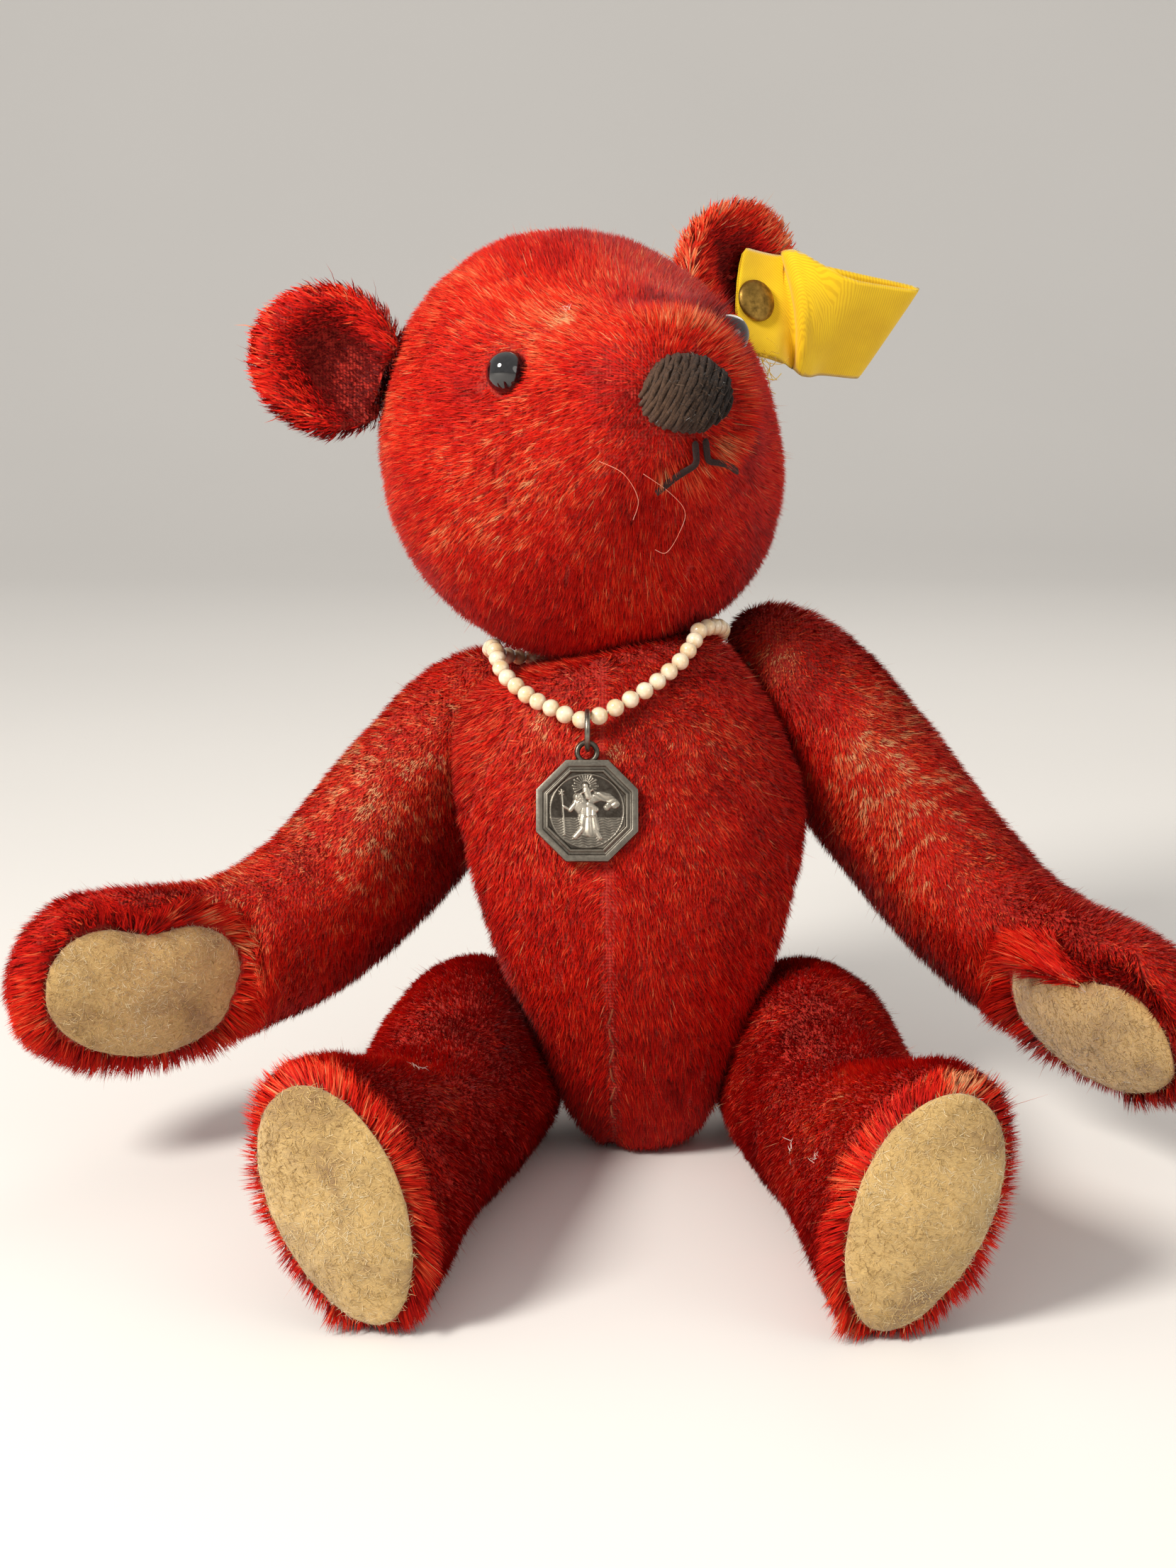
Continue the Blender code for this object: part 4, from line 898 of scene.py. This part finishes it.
def comb_round_eyes(roots, long, lean):
    """Cuts the pile short round the right eye, and stands it up before the left one, which the muzzle hides."""
    long *= 1 - 0.65 * near(gap_to(roots, middle_of("eye_right")), 4.6, 4)
    before = roots[:, 1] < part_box("eye_left")[0].y / MM + 2.8
    cover = near(gap_to(roots, middle_of("eye_left")), 7.6, 4) * before
    long *= 1 + 2.5 * cover
    lean += (0.08 - lean) * cover


def pile_of(node, skin, s, material, seed):
    """The mohair pile of one stuffed piece."""
    rng = np.random.default_rng(seed)
    thinner = 1.0
    ear = node.startswith("ear")
    roots, ups = roots_on(skin, (s.density * 0.6 if ear else s.density) * thinner, rng)
    count = len(roots)
    long, lean = np.full(count, s.pile / MM), np.full(count, s.lean)
    rim, own_shade = np.zeros(count), np.zeros(count)
    if node == "head":
        lie, own_shade = comb_head(roots, long, lean)
    elif ear:
        lie, own_shade = comb_ear(node, roots, ups, long)
    else:
        lie = np.tile(np.array(NAP[node]) + 0.25 * DOWN, (count, 1))
        if node == "torso":
            part_at_seam(roots, ups, long, lie)
        else:
            rim = fringe_pad(node, roots, long, lean, lie, s, seed)
    dashes, fading = worn_at(node, roots, seed)
    long *= (0.72 + 0.5 * rng.random(count)) * (1 - 0.35 * dashes) * (1 - 0.75 * np.clip(fading * 1.4, 0, 1))
    if node == "head":
        comb_round_eyes(roots, long, lean)
    stray = rng.random(count) < STRAY_SHARE
    long[stray] *= 1.8

    # Which way each lock goes, drawn together with its neighbours and kept out of them
    swirl = np.stack([blotches(roots, 7.0, seed + 20 + k) - 0.5 for k in range(3)], 1)
    lie = unit(lie - ups * dots(lie, ups)[:, None])
    lie = unit(lie + 0.8 * swirl + 0.22 * rng.normal(size=roots.shape))
    lean = lean + 0.12 * rng.normal(size=count) - 0.4 * stray
    ways = unit(ups * np.cos(lean)[:, None] + lie * np.sin(lean)[:, None])
    tips = gathered(roots + ways * long[:, None], roots, 0.9, 0.22 + 0.3 * rim, seed)
    tips += ups * np.maximum(0, 0.3 - dots(tips - roots, ups))[:, None]
    tips[:, 2] = np.maximum(tips[:, 2], 0.25)
    mouth = ("mouth_stitch_left", "mouth_stitch_right") if node == "head" else ()
    room = standing_room(roots, tips, ups, others_than(node, *mouth))
    tips = roots + (tips - roots) * room[:, None]
    keep = np.flatnonzero((room * long > 0.45) & (roots[:, 2] > 0.1))

    shade = 0.50 + 0.26 * (blotches(roots, 14.0, seed + 9) - 0.5) + 0.22 * (blotches(roots, 1.6, seed + 11) - 0.5)
    shade += 0.10 * rng.normal(size=count) + (0.46 if node == "head" else 0.62) * dashes + 0.95 * fading
    # Painted light and shade: pile facing up and towards the key lamp is made lighter, pile facing down darker;
    # own_shade brings the painted shade of the muzzle's crease and the ear's cup
    shade += own_shade + 0.30 * stray + 0.08 * (ups @ np.array(PAINTED_LIGHT_SIDE))
    shade += 0.10 * rim * (blotches(roots, 2.0, seed + 13) - 0.3)
    width = s.blade / MM * (0.75 + 0.5 * rng.random(count)) * (1 - 0.5 * stray) / math.sqrt(thinner)
    width *= 1.3 if ear else 1.0 + 0.5 * rim
    roots = roots - ups * 0.12
    roots[:, 2] = np.maximum(roots[:, 2], 0.12)
    piece = lock_mesh(node + "_pile", roots[keep], tips[keep], ups[keep], width[keep], shade[keep], rng, ear)
    return settle(piece, node + "_pile", BODY_OF[node], material)


def scattered(name, centres, reach, count, long, width, shades, body, material, seed, skin=None):
    """Loose fibres lying any way round some places."""
    rng = np.random.default_rng(seed)
    middle = np.repeat(np.array(centres, float), count, axis=0)
    roots = middle + rng.normal(size=middle.shape) * reach
    ups = unit(rng.normal(size=middle.shape))
    if skin is not None:
        tree = BVHTree.FromObject(skin, bpy.context.evaluated_depsgraph_get())
        for i, root in enumerate(roots):
            found, normal, _, _ = tree.find_nearest(Vector(root) * MM)
            roots[i] = (found + normal * (1.9 * MM)) * 1000
            ups[i] = normal
    way = unit(np.cross(ups, rng.normal(size=roots.shape)) + 0.25 * ups)
    tips = roots + way * (long * (0.5 + rng.random(len(roots))))[:, None]
    shade = shades[0] + (shades[1] - shades[0]) * rng.random(len(roots))
    piece = lock_mesh(name, roots, tips, ups, np.full(len(roots), width), shade, rng, bent=True)
    return settle(piece, name, body, material)


# One operator for each piece or group of like pieces

class BEAR_OT_stage(bpy.types.Operator):
    """Make the floor, the lamps and the camera"""

    bl_idname = "bear.stage"
    bl_label = "Stage"

    def execute(self, context):
        s = context.scene.bear_stage
        bpy.ops.object.select_all(action="DESELECT")
        bpy.ops.mesh.primitive_plane_add(size=3.0, location=(0, -0.6, 0))
        floor = context.active_object
        select_only(floor, "EDGE", lambda edge: all(floor.data.vertices[i].co.y > 1.0 for i in edge.vertices))
        bpy.ops.object.mode_set(mode="EDIT")
        for step in range(1, 13):
            angle = math.radians(7.5 * (step - 0.5))
            move = (0, 0.09 * math.cos(angle), 0.09 * math.sin(angle))
            bpy.ops.mesh.extrude_region_move(TRANSFORM_OT_translate={"value": move})
        bpy.ops.mesh.extrude_region_move(TRANSFORM_OT_translate={"value": (0, 0, 2.0)})
        bpy.ops.object.mode_set(mode="OBJECT")
        bpy.ops.object.shade_smooth()
        material, tree, shader = finish("pale_floor", 0.8)
        cloud = noise_node(tree, place_node(tree), 0.5)
        paint(tree, shader, ramp_node(tree, cloud, ((0.3, dimmed(s.floor, 0.96)), (0.7, s.floor))))
        floor.name = "floor"
        floor.data.materials.append(material)
        world = bpy.data.worlds.new("room")
        world.use_nodes = True
        world.node_tree.nodes["Background"].inputs["Color"].default_value = (1.0, 0.97, 0.94, 1.0)
        world.node_tree.nodes["Background"].inputs["Strength"].default_value = s.sky
        context.scene.world = world
        for name, at, size, setting in LAMPS:
            lamp = bpy.data.lights.new(name, "AREA")
            lamp.shape = "DISK"
            lamp.size = size
            lamp.energy = getattr(s, setting)
            lamp.color = (1.0, 0.95, 0.88)
            made = bpy.data.objects.new(name, lamp)
            made.location = at
            made.rotation_euler = (Vector(LAMPS_AIM) - Vector(at)).to_track_quat("-Z", "Y").to_euler()
            context.scene.collection.objects.link(made)
        view = bpy.data.cameras.new("camera")
        view.lens = 72
        view.sensor_width = 36
        view.sensor_fit = "HORIZONTAL"
        view.clip_start = 0.01
        made = bpy.data.objects.new("camera", view)
        made.location = CAMERA_PLACE
        made.rotation_euler = (math.pi / 2 - CAMERA_DOWN, 0, 0)
        context.scene.collection.objects.link(made)
        context.scene.camera = made
        context.scene.view_settings.view_transform = "Standard"
        return {"FINISHED"}


class BEAR_OT_joint_hardware(bpy.types.Operator):
    """Give the discs, washers and cotter pins of the joints their finishes"""

    bl_idname = "bear.joint_hardware"
    bl_label = "Joint hardware"

    def execute(self, context):
        board, steel = board_material(), steel_material()
        for name, node in frame["nodes"].items():
            if name.endswith("_disc"):
                node.material_slots[0].material = board
            elif name.endswith(("_washer", "_pin")):
                node.material_slots[0].material = steel
        return {"FINISHED"}


class BEAR_OT_mohair(bpy.types.Operator):
    """Make the stuffed pieces and their mohair pile"""

    bl_idname = "bear.mohair"
    bl_label = "Stuffed pieces and pile"

    def execute(self, context):
        s = context.scene.bear_mohair
        backing = backing_material(s)
        stops = ((0.0, dimmed(s.deep, 0.5)), (0.25, s.deep), (0.5, s.red), (0.68, s.bright), (0.85, s.coral),
                 (1.0, s.worn))
        pile = pile_material("mohair_pile", stops)
        for seed, node in enumerate(PLUSH, 11):
            skin = stuffed_form(node, s, seed)
            settle(skin, node + "_skin", BODY_OF[node], backing, (node,))
            pile_of(node, skin, s, pile, seed)
        return {"FINISHED"}


class BEAR_OT_felt_pads(bpy.types.Operator):
    """Make the felt pads of the paws and feet, with their matted nap"""

    bl_idname = "bear.felt_pads"
    bl_label = "Felt pads"

    def execute(self, context):
        s = context.scene.bear_trim
        felt = felt_material(s)
        stops = ((0.0, s.felt_dirt), (0.5, s.felt), (1.0, (0.85, 0.72, 0.48)))
        nap = pile_material("felt_nap", stops, 0.8, 0.3)
        for seed, node in enumerate(PADS, 41):
            pad = rounded_copy(node, 2)
            points = coordinates(pad.data)
            puckers = blotches(points * 1000, 6, seed) + 0.6 * blotches(points * 1000, 2, seed) - 0.8
            set_coordinates(pad.data, points + normals_of(pad.data) * (puckers * 0.35 * MM)[:, None])
            settle(pad, node + "_felt", BODY_OF[node], felt, (node,))
            rng = np.random.default_rng(seed)
            roots, ups = roots_on(pad, 5.0, rng)
            roots = roots + ups * 0.05
            way = unit(np.cross(ups, rng.normal(size=roots.shape)) + 0.16 * ups)
            tips = roots + way * (0.5 + 1.1 * rng.random(len(roots)))[:, None]
            shade = 0.15 + 0.75 * blotches(roots, 8.0, seed + 2) + 0.2 * rng.normal(size=len(roots))
            fuzz = lock_mesh(node + "_nap", roots, tips, ups, np.full(len(roots), 0.11), shade, rng)
            settle(fuzz, node + "_nap", BODY_OF[node], nap)
        return {"FINISHED"}


class BEAR_OT_eyes(bpy.types.Operator):
    """Make the black glass eyes"""

    bl_idname = "bear.eyes"
    bl_label = "Eyes"

    def execute(self, context):
        glass = glass_material()
        for node in ("eye_left", "eye_right"):
            settle(rounded_copy(node, 2), node + "_glass", "head", glass, (node,))
        return {"FINISHED"}


class BEAR_OT_nose_and_mouth(bpy.types.Operator):
    """Make the stitched wool nose and the mouth"""

    bl_idname = "bear.nose_and_mouth"
    bl_label = "Nose and mouth"

    def execute(self, context):
        s = context.scene.bear_trim
        # The nose wool is painted lighter towards the key lamp and darker away from it
        wool = wool_material("nose_wool", s.wool_dark, s.wool_light, 0.5 * MM, 0.30)
        thread = wool_material("mouth_thread", s.thread, dimmed(s.thread, 3), 0.4 * MM)
        core = rounded_copy("nose_stitching", 1)
        settle(core, "nose_core", "head", wool, ("nose_stitching",))
        tree = tree_of(["nose_stitching"])
        facing = Vector((0.22, -0.95, 0.12)).normalized()
        level = facing.cross(Vector((0, 0, 1))).normalized() * -1
        rise = level.cross(facing).normalized() * -1
        slant = (rise * 0.86 + level * 0.50).normalized()
        apart = (level * 0.86 - rise * 0.50).normalized()
        nose_middle = Vector(NOSE_TIP) * MM
        paths = []
        for row in range(-12, 13):
            path = []
            for step in range(-16, 17):
                start = nose_middle + facing * (12 * MM) + apart * (row * 0.66 * MM) + slant * (step * 0.5 * MM)
                hit, normal, _, _ = tree.ray_cast(start, -facing)
                if hit is not None and normal.dot(facing) > 0.05:
                    lifted = (0.10 + 0.14 * math.sin(row * 7.3)) * MM
                    waved = 0.16 * math.sin(row * 3.1 + step * 0.45) * MM
                    path.append(hit + normal * lifted + apart * waved)
            if len(path) > 5:
                path[0] = path[0] - facing * (0.7 * MM)
                path[-1] = path[-1] - facing * (0.7 * MM)
                paths.append(path)
        settle(strands(paths, 0.82 * MM), "nose_stitches", "head", wool)
        stops = ((0.0, s.wool_dark), (0.6, s.wool_light), (1.0, (0.42, 0.30, 0.2)))
        fuzz = pile_material("wool_fuzz", stops, 0.7, 0.2)
        centres = [tuple(c / MM for c in path[k]) for path in paths for k in range(1, len(path) - 1, 3)]
        scattered("nose_fuzz", centres, 0.35, 7, 1.1, 0.07, (0.0, 0.75), "head", fuzz, 71)
        for node in ("mouth_stitch_left", "mouth_stitch_right"):
            settle(rounded_copy(node, 2), node + "_thread", "head", thread, (node,))
        return {"FINISHED"}


class BEAR_OT_pearls(bpy.types.Operator):
    """Make the pearls on their thread"""

    bl_idname = "bear.pearls"
    bl_label = "Pearl string"

    def execute(self, context):
        s = context.scene.bear_trim
        points = coordinates(frame["nodes"]["pearl_string"].data)
        middle = points.mean(axis=0)
        turn = np.arctan2(points[:, 1] - middle[1], points[:, 0] - middle[0])
        bins = ((turn + math.pi) / (2 * math.pi) * 96).astype(int) % 96
        line = np.array([points[bins == k].mean(axis=0) for k in range(96)])
        line = (np.roll(line, 1, 0) + 2 * line + np.roll(line, -1, 0)) / 4
        hung = np.argmin(np.linalg.norm(line - np.array(RING_CENTRE) * MM, axis=1))
        line = np.roll(line, -hung, 0)
        closed = np.vstack([line, line[:1]])
        steps = np.concatenate([[0], np.cumsum(np.linalg.norm(np.diff(closed, axis=0), axis=1))])
        wide = s.pearl_size / 2
        count = int(steps[-1] / (s.pearl_size * 1.02))
        spots = (np.arange(count) + 0.5) * steps[-1] / count
        row = [Vector([np.interp(at, steps, closed[:, k]) for k in range(3)]) for at in spots]
        bpy.ops.object.select_all(action="DESELECT")
        bpy.ops.mesh.primitive_uv_sphere_add(segments=20, ring_count=12, radius=wide)
        pearl = context.active_object
        bpy.ops.object.shade_smooth()
        for vertex in pearl.data.vertices:
            if abs(vertex.co.z) > 0.97 * wide:
                vertex.co.z *= 0.9
        pearls = [pearl]
        rng = np.random.default_rng(5)
        for i, centre in enumerate(row):
            copy = bpy.data.objects.new("pearl", pearl.data.copy())
            context.scene.collection.objects.link(copy)
            along = (row[(i + 1) % len(row)] - row[i - 1]).normalized()
            size = 0.965 + 0.045 * rng.random()
            copy.matrix_world = (Matrix.Translation(centre) @ along.to_track_quat("Z", "Y").to_matrix().to_4x4()
                                 @ Matrix.Diagonal((size, size, size * 0.97, 1)))
            pearls.append(copy)
        bpy.data.objects.remove(pearls.pop(0))
        for piece in pearls:
            piece.select_set(True)
        context.view_layer.objects.active = pearls[0]
        bpy.ops.object.join()
        string = context.active_object
        settle(string, "pearls", "torso", pearl_material(s), ("pearl_string",))
        thread = strands([row], 0.5 * MM, 2, closed=True)
        silk = wool_material("silk_thread", (0.5, 0.42, 0.3), (0.75, 0.68, 0.55), 0.4 * MM)
        settle(thread, "pearl_thread", "torso", silk)
        return {"FINISHED"}


def medal_relief(x, y):
    """Height of the medal's picture in millimetres: a wading wayfarer with a staff, and a child on their shoulder."""
    high = np.zeros_like(x)

    def stroke(a, b, wide, tall, squeeze=2.0):
        """A rounded stroke from a to b."""
        nonlocal high
        ax, ay = b[0] - a[0], b[1] - a[1]
        t = np.clip(((x - a[0]) * ax + (y - a[1]) * ay) / max(1e-6, ax * ax + ay * ay), 0, 1)
        gap = np.hypot(x - a[0] - t * ax, y - a[1] - t * ay) / wide
        high = np.maximum(high, tall * np.clip(1 - gap ** squeeze, 0, 1) ** 0.5)
        return gap < 1

    water = y < -1.2
    ripple = 0.5 + 0.5 * np.sin(y * 15 + 1.6 * np.sin(x * 2.1) + 1.1 * np.sin(x * 4.7 + y))
    high += np.where(water, 0.05 + 0.10 * ripple ** 3, 0)
    high = np.maximum(high, 0.13 * np.exp(-((y + 1.2) / 0.07) ** 2))
    angle = np.arctan2(y - 4.0, x + 0.25)
    ray = np.hypot(x + 0.25, y - 4.0)
    beams = (np.cos(angle * 24) > -0.1) & (ray > 0.7) & (ray < 2.0 + 0.15 * np.cos(angle * 12)) & (angle > -0.7)
    high = np.maximum(high, np.where(beams | ((ray < 2.0) & (angle < -2.5) & (np.cos(angle * 24) > -0.1)), 0.11, 0))
    stroke((-3.6, -3.9), (-4.05, 2.9), 0.17, 0.26)
    for dx, dy in ((0, 0.55), (-0.35, 0.25), (0.33, 0.28), (-0.3, -0.2), (0.28, -0.25)):
        stroke((-4.1, 2.9), (-4.1 + dx, 2.9 + dy), 0.15, 0.24)
    cloak = [(0.9, 1.9), (2.1, 2.4), (3.4, 2.1), (4.5, 1.1)]
    for a, b in zip(cloak, cloak[1:]):
        stroke(a, b, 0.78, 0.30)
    stroke((3.9, 1.2), (3.2, 0.5), 0.5, 0.26)
    folds = 0.5 + 0.5 * np.sin((y - 0.55 * np.sin(x * 1.4)) * 7.5)
    high = np.where((x > 1.1) & (y > 0) & (y < 3.4) & (high > 0.16), high * (0.72 + 0.4 * folds), high)
    stroke((-1.1, 1.0), (0.3, -0.7), 1.25, 0.42)
    stroke((0.3, 1.0), (1.4, 0.2), 0.55, 0.40)
    stroke((-1.9, 1.1), (-2.7, 0.1), 0.42, 0.38)
    stroke((-2.7, 0.1), (-3.75, 0.7), 0.30, 0.34)
    skirt = stroke((0.1, -1.0), (0.5, -2.8), 1.55, 0.42)
    pleats = 0.5 + 0.5 * np.cos((x - 0.25) * 7.5 / (1 + 0.25 * np.clip(-y - 1, 0, 3)))
    high = np.where(skirt & (high > 0.2), high * (0.70 + 0.42 * pleats), high)
    stroke((-0.7, -2.9), (-1.9, -4.3), 0.42, 0.36)
    stroke((1.3, -2.9), (2.1, -4.4), 0.42, 0.34)
    stroke((-0.5, -1.0), (1.2, -0.9), 0.18, 0.48)
    stroke((-1.35, 2.15), (-1.3, 2.0), 0.82, 0.44)
    curls = 0.5 + 0.5 * np.sin(x * 9 + np.sin(y * 8)) * np.sin(y * 9)
    high = np.where(np.hypot(x + 1.33, y - 2.1) < 0.9, high * (0.84 + 0.22 * curls), high)
    stroke((-1.65, 2.35), (-1.65, 1.95), 0.34, 0.50)
    stroke((-1.86, 2.2), (-1.9, 2.08), 0.10, 0.56)
    stroke((-0.1, 3.4), (0.25, 2.3), 0.62, 0.46)
    stroke((0.3, 3.0), (0.95, 3.4), 0.18, 0.40)
    stroke((-0.3, 3.1), (-0.95, 2.8), 0.18, 0.42)
    stroke((-0.25, 4.05), (-0.25, 4.0), 0.50, 0.50)
    stroke((-0.25, 3.95), (-0.25, 3.90), 0.09, 0.57)
    rim = np.hypot(x, y)
    high = np.maximum(high, 0.16 * np.exp(-((rim - 5.95) / 0.10) ** 2))
    return np.where(rim > 6.02, np.minimum(high, 0.04), high)


class BEAR_OT_pendant(bpy.types.Operator):
    """Make the jump ring and the octagonal medal"""

    bl_idname = "bear.pendant"
    bl_label = "Ring and medal"

    def execute(self, context):
        s = context.scene.bear_trim
        right = Vector((1, 0, 0))
        hung = Matrix((right, MEDAL_UP, MEDAL_OUT)).transposed().to_4x4()
        hung = Matrix.Translation(MEDAL_CENTRE * MM) @ hung
        plain = silver_material("rubbed_silver", s)
        carved = silver_material("carved_silver", s, from_relief=True)
        across = 16.5 * MM
        bpy.ops.object.select_all(action="DESELECT")
        bpy.ops.mesh.primitive_cylinder_add(
            vertices=8, radius=across / 2 / math.cos(math.pi / 8), depth=1.7 * MM, rotation=(0, 0, math.pi / 8))
        medal = context.active_object
        bpy.ops.object.transform_apply(location=True, rotation=True, scale=True)
        select_only(medal, "FACE", lambda face: face.normal.z > 0.9)
        bpy.ops.object.mode_set(mode="EDIT")
        for wide, deep in ((0.95, 0), (0.22, -0.30), (0.28, 0), (0.20, 0.22), (0.26, 0), (0.24, -0.42)):
            bpy.ops.mesh.inset(thickness=wide * MM, depth=deep * MM)
        bpy.ops.object.mode_set(mode="OBJECT")
        edge = medal.modifiers.new("edge", "BEVEL")
        edge.width = 0.09 * MM
        edge.segments = 3
        edge.limit_method = "ANGLE"
        edge.angle_limit = math.radians(20)
        apply_all(medal)
        bpy.ops.object.shade_smooth_by_angle(angle=math.radians(30))
        bpy.ops.mesh.primitive_torus_add(
            major_radius=1.6 * MM, minor_radius=0.45 * MM, major_segments=40, minor_segments=14,
            location=(0, 9.6 * MM, 0))
        bpy.ops.object.shade_smooth()
        bail = context.active_object
        bail.select_set(True)
        medal.select_set(True)
        context.view_layer.objects.active = medal
        bpy.ops.object.join()
        relief_of = medal.data.attributes.new("relief", "FLOAT", "POINT")
        points = coordinates(medal.data)
        level = np.clip((points[:, 2] / MM - 0.35) / 0.5, 0, 1) * 0.18 + 0.05
        relief_of.data.foreach_set("value", level.astype(np.float32))
        medal.matrix_world = hung
        settle(medal, "medal_body", "pendant", carved, ("medal",))
        bpy.ops.object.select_all(action="DESELECT")
        bpy.ops.mesh.primitive_grid_add(x_subdivisions=170, y_subdivisions=170, size=12.5 * MM)
        relief = context.active_object
        select_only(relief, "VERT", lambda vertex: math.hypot(vertex.co.x, vertex.co.y) > 6.2 * MM)
        bpy.ops.object.mode_set(mode="EDIT")
        bpy.ops.mesh.delete(type="VERT")
        bpy.ops.object.mode_set(mode="OBJECT")
        bpy.ops.object.shade_smooth()
        points = coordinates(relief.data)
        high = medal_relief(points[:, 0] / MM, points[:, 1] / MM)
        points[:, 2] = (0.37 + high * 0.85) * MM
        set_coordinates(relief.data, points)
        shade = relief.data.attributes.new("relief", "FLOAT", "POINT")
        shade.data.foreach_set("value", np.clip(high / 0.42, 0, 1).astype(np.float32))
        relief.matrix_world = hung
        settle(relief, "medal_relief", "pendant", carved)
        bpy.ops.object.select_all(action="DESELECT")
        bpy.ops.mesh.primitive_torus_add(
            major_radius=3.1 * MM, minor_radius=0.45 * MM, major_segments=64, minor_segments=16,
            location=RING_CENTRE * MM, rotation=(0, math.pi / 2, 0))
        bpy.ops.object.shade_smooth()
        settle(context.active_object, "ring", "pendant", plain, ("jump_ring",))
        return {"FINISHED"}


class BEAR_OT_ear_ribbon(bpy.types.Operator):
    """Make the folded ribbon, its loose threads and the button in the ear"""

    bl_idname = "bear.ear_ribbon"
    bl_label = "Ear ribbon and button"

    def execute(self, context):
        s = context.scene.bear_trim
        twill = ribbon_material(s)
        ribbon = rounded_copy("ear_ribbon", 1)
        settle(ribbon, "ribbon", "head", twill, ("ear_ribbon",))
        button = rounded_copy("ear_button", 2)
        settle(button, "button", "head", brass_material(s), ("ear_button",))
        rng = np.random.default_rng(9)
        low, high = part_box("ear_ribbon")
        paths = []
        for k in range(16):
            start = Vector((low.x + 6 * MM, low.y + 1 * MM, low.z + 4 * MM)) + Vector(rng.normal(size=3)) * 1.3 * MM
            line = [start]
            way = Vector((0.7, 0.3, -0.75)) + Vector(rng.normal(size=3)) * 0.5
            for step in range(4):
                way = way + Vector(rng.normal(size=3)) * 0.45 + Vector((0, 0, 0.12))
                line.append(line[-1] + way.normalized() * (1.5 * MM))
            paths.append(smooth_line(line, 4))
        loose = strands(paths, 0.13 * MM, 1)
        settle(loose, "ribbon_threads", "head", twill)
        return {"FINISHED"}


class BEAR_OT_seams_and_wear(bpy.types.Operator):
    """Add the hand-sewn closing seam, stray hairs and lint"""

    bl_idname = "bear.seams_and_wear"
    bl_label = "Seams and wear"

    def execute(self, context):
        s = context.scene.bear_mohair
        linen = wool_material("linen_thread", (0.20, 0.03, 0.01), (0.36, 0.09, 0.03), 0.5 * MM)
        tree = BVHTree.FromObject(bpy.data.objects["torso_skin"], context.evaluated_depsgraph_get())
        paths = []
        for k in range(6):
            z = (8 + k * 3.6) * MM
            x = seam_x(z / MM) * MM
            line = []
            for step in range(5):
                t = step / 4
                start = Vector((x + (t - 0.5) * 0.7 * MM * (1 if k % 2 else -1), -0.05, z + t * 2.6 * MM))
                hit, normal, _, _ = tree.ray_cast(start, Vector((0, 1, 0)))
                line.append(hit + normal * ((0.1 + 0.75 * math.sin(math.pi * t)) * MM))
            paths.append(line)
        settle(strands(paths, 0.34 * MM), "closing_stitches", "torso", linen)
        stops = ((0.0, s.coral), (0.5, (0.85, 0.62, 0.5)), (1.0, (0.9, 0.88, 0.84)))
        pale = pile_material("pale_fibre", stops, 0.9, 0.1)
        for seed, (node, centres) in enumerate(LINT.items(), 91):
            scattered(node + "_lint", centres, 0.5, 9, 1.3, 0.07, (0.4, 0.95), BODY_OF[node], pale, seed,
                      bpy.data.objects[node + "_skin"])
        face = BVHTree.FromObject(bpy.data.objects["head_skin"], context.evaluated_depsgraph_get())
        rng = np.random.default_rng(3)
        seen = [(1.4, 115.6), (5.0, 113.0), (7.4, 110.2), (6.6, 106.0), (5.0, 102.6), (3.2, 103.4)]
        loops = [seen, [(x * 0.9 - 6, z + 2 + 0.6 * (k % 2)) for k, (x, z) in enumerate(seen[:4])]]
        paths = []
        for loop in loops:
            line = []
            for x, z in loop:
                hit, normal, _, _ = face.ray_cast(Vector((x * MM, -0.06, z * MM)), Vector((0, 1, 0)))
                line.append(hit + normal * ((1.7 + 0.6 * rng.random()) * MM))
            paths.append(smooth_line(line, 8))
        settle(strands(paths, 0.09 * MM, 1), "stray_hairs", "head", loose_hair_material(s))
        return {"FINISHED"}


class BEAR_PT_pieces(bpy.types.Panel):
    """The bear's sizes, colours and pieces"""

    bl_idname = "BEAR_PT_pieces"
    bl_label = "Worn mohair bear"
    bl_space_type = "VIEW_3D"
    bl_region_type = "UI"
    bl_category = "Bear"

    def draw(self, context):
        for group in (context.scene.bear_mohair, context.scene.bear_trim, context.scene.bear_stage):
            box = self.layout.box()
            for name in group.__annotations__:
                box.prop(group, name)
        for operator in OPERATORS:
            self.layout.operator(operator.bl_idname)


OPERATORS = (
    BEAR_OT_stage,
    BEAR_OT_joint_hardware,
    BEAR_OT_mohair,
    BEAR_OT_felt_pads,
    BEAR_OT_eyes,
    BEAR_OT_nose_and_mouth,
    BEAR_OT_pearls,
    BEAR_OT_pendant,
    BEAR_OT_ear_ribbon,
    BEAR_OT_seams_and_wear,
)
GROUPS = {"bear_mohair": MohairSettings, "bear_trim": TrimSettings, "bear_stage": StageSettings}


def register():
    for group in GROUPS.values():
        bpy.utils.register_class(group)
    for name, group in GROUPS.items():
        setattr(bpy.types.Scene, name, bpy.props.PointerProperty(type=group))
    for kind in (*OPERATORS, BEAR_PT_pieces):
        bpy.utils.register_class(kind)


def unregister():
    for kind in (BEAR_PT_pieces, *reversed(OPERATORS)):
        bpy.utils.unregister_class(kind)
    for name in GROUPS:
        delattr(bpy.types.Scene, name)
    for group in GROUPS.values():
        bpy.utils.unregister_class(group)


def main():
    register()
    bpy.ops.bear.stage()
    bpy.ops.bear.joint_hardware()
    bpy.ops.bear.mohair()
    bpy.ops.bear.felt_pads()
    bpy.ops.bear.eyes()
    bpy.ops.bear.nose_and_mouth()
    bpy.ops.bear.pearls()
    bpy.ops.bear.pendant()
    bpy.ops.bear.ear_ribbon()
    bpy.ops.bear.seams_and_wear()


if __name__ == "__main__":
    main()
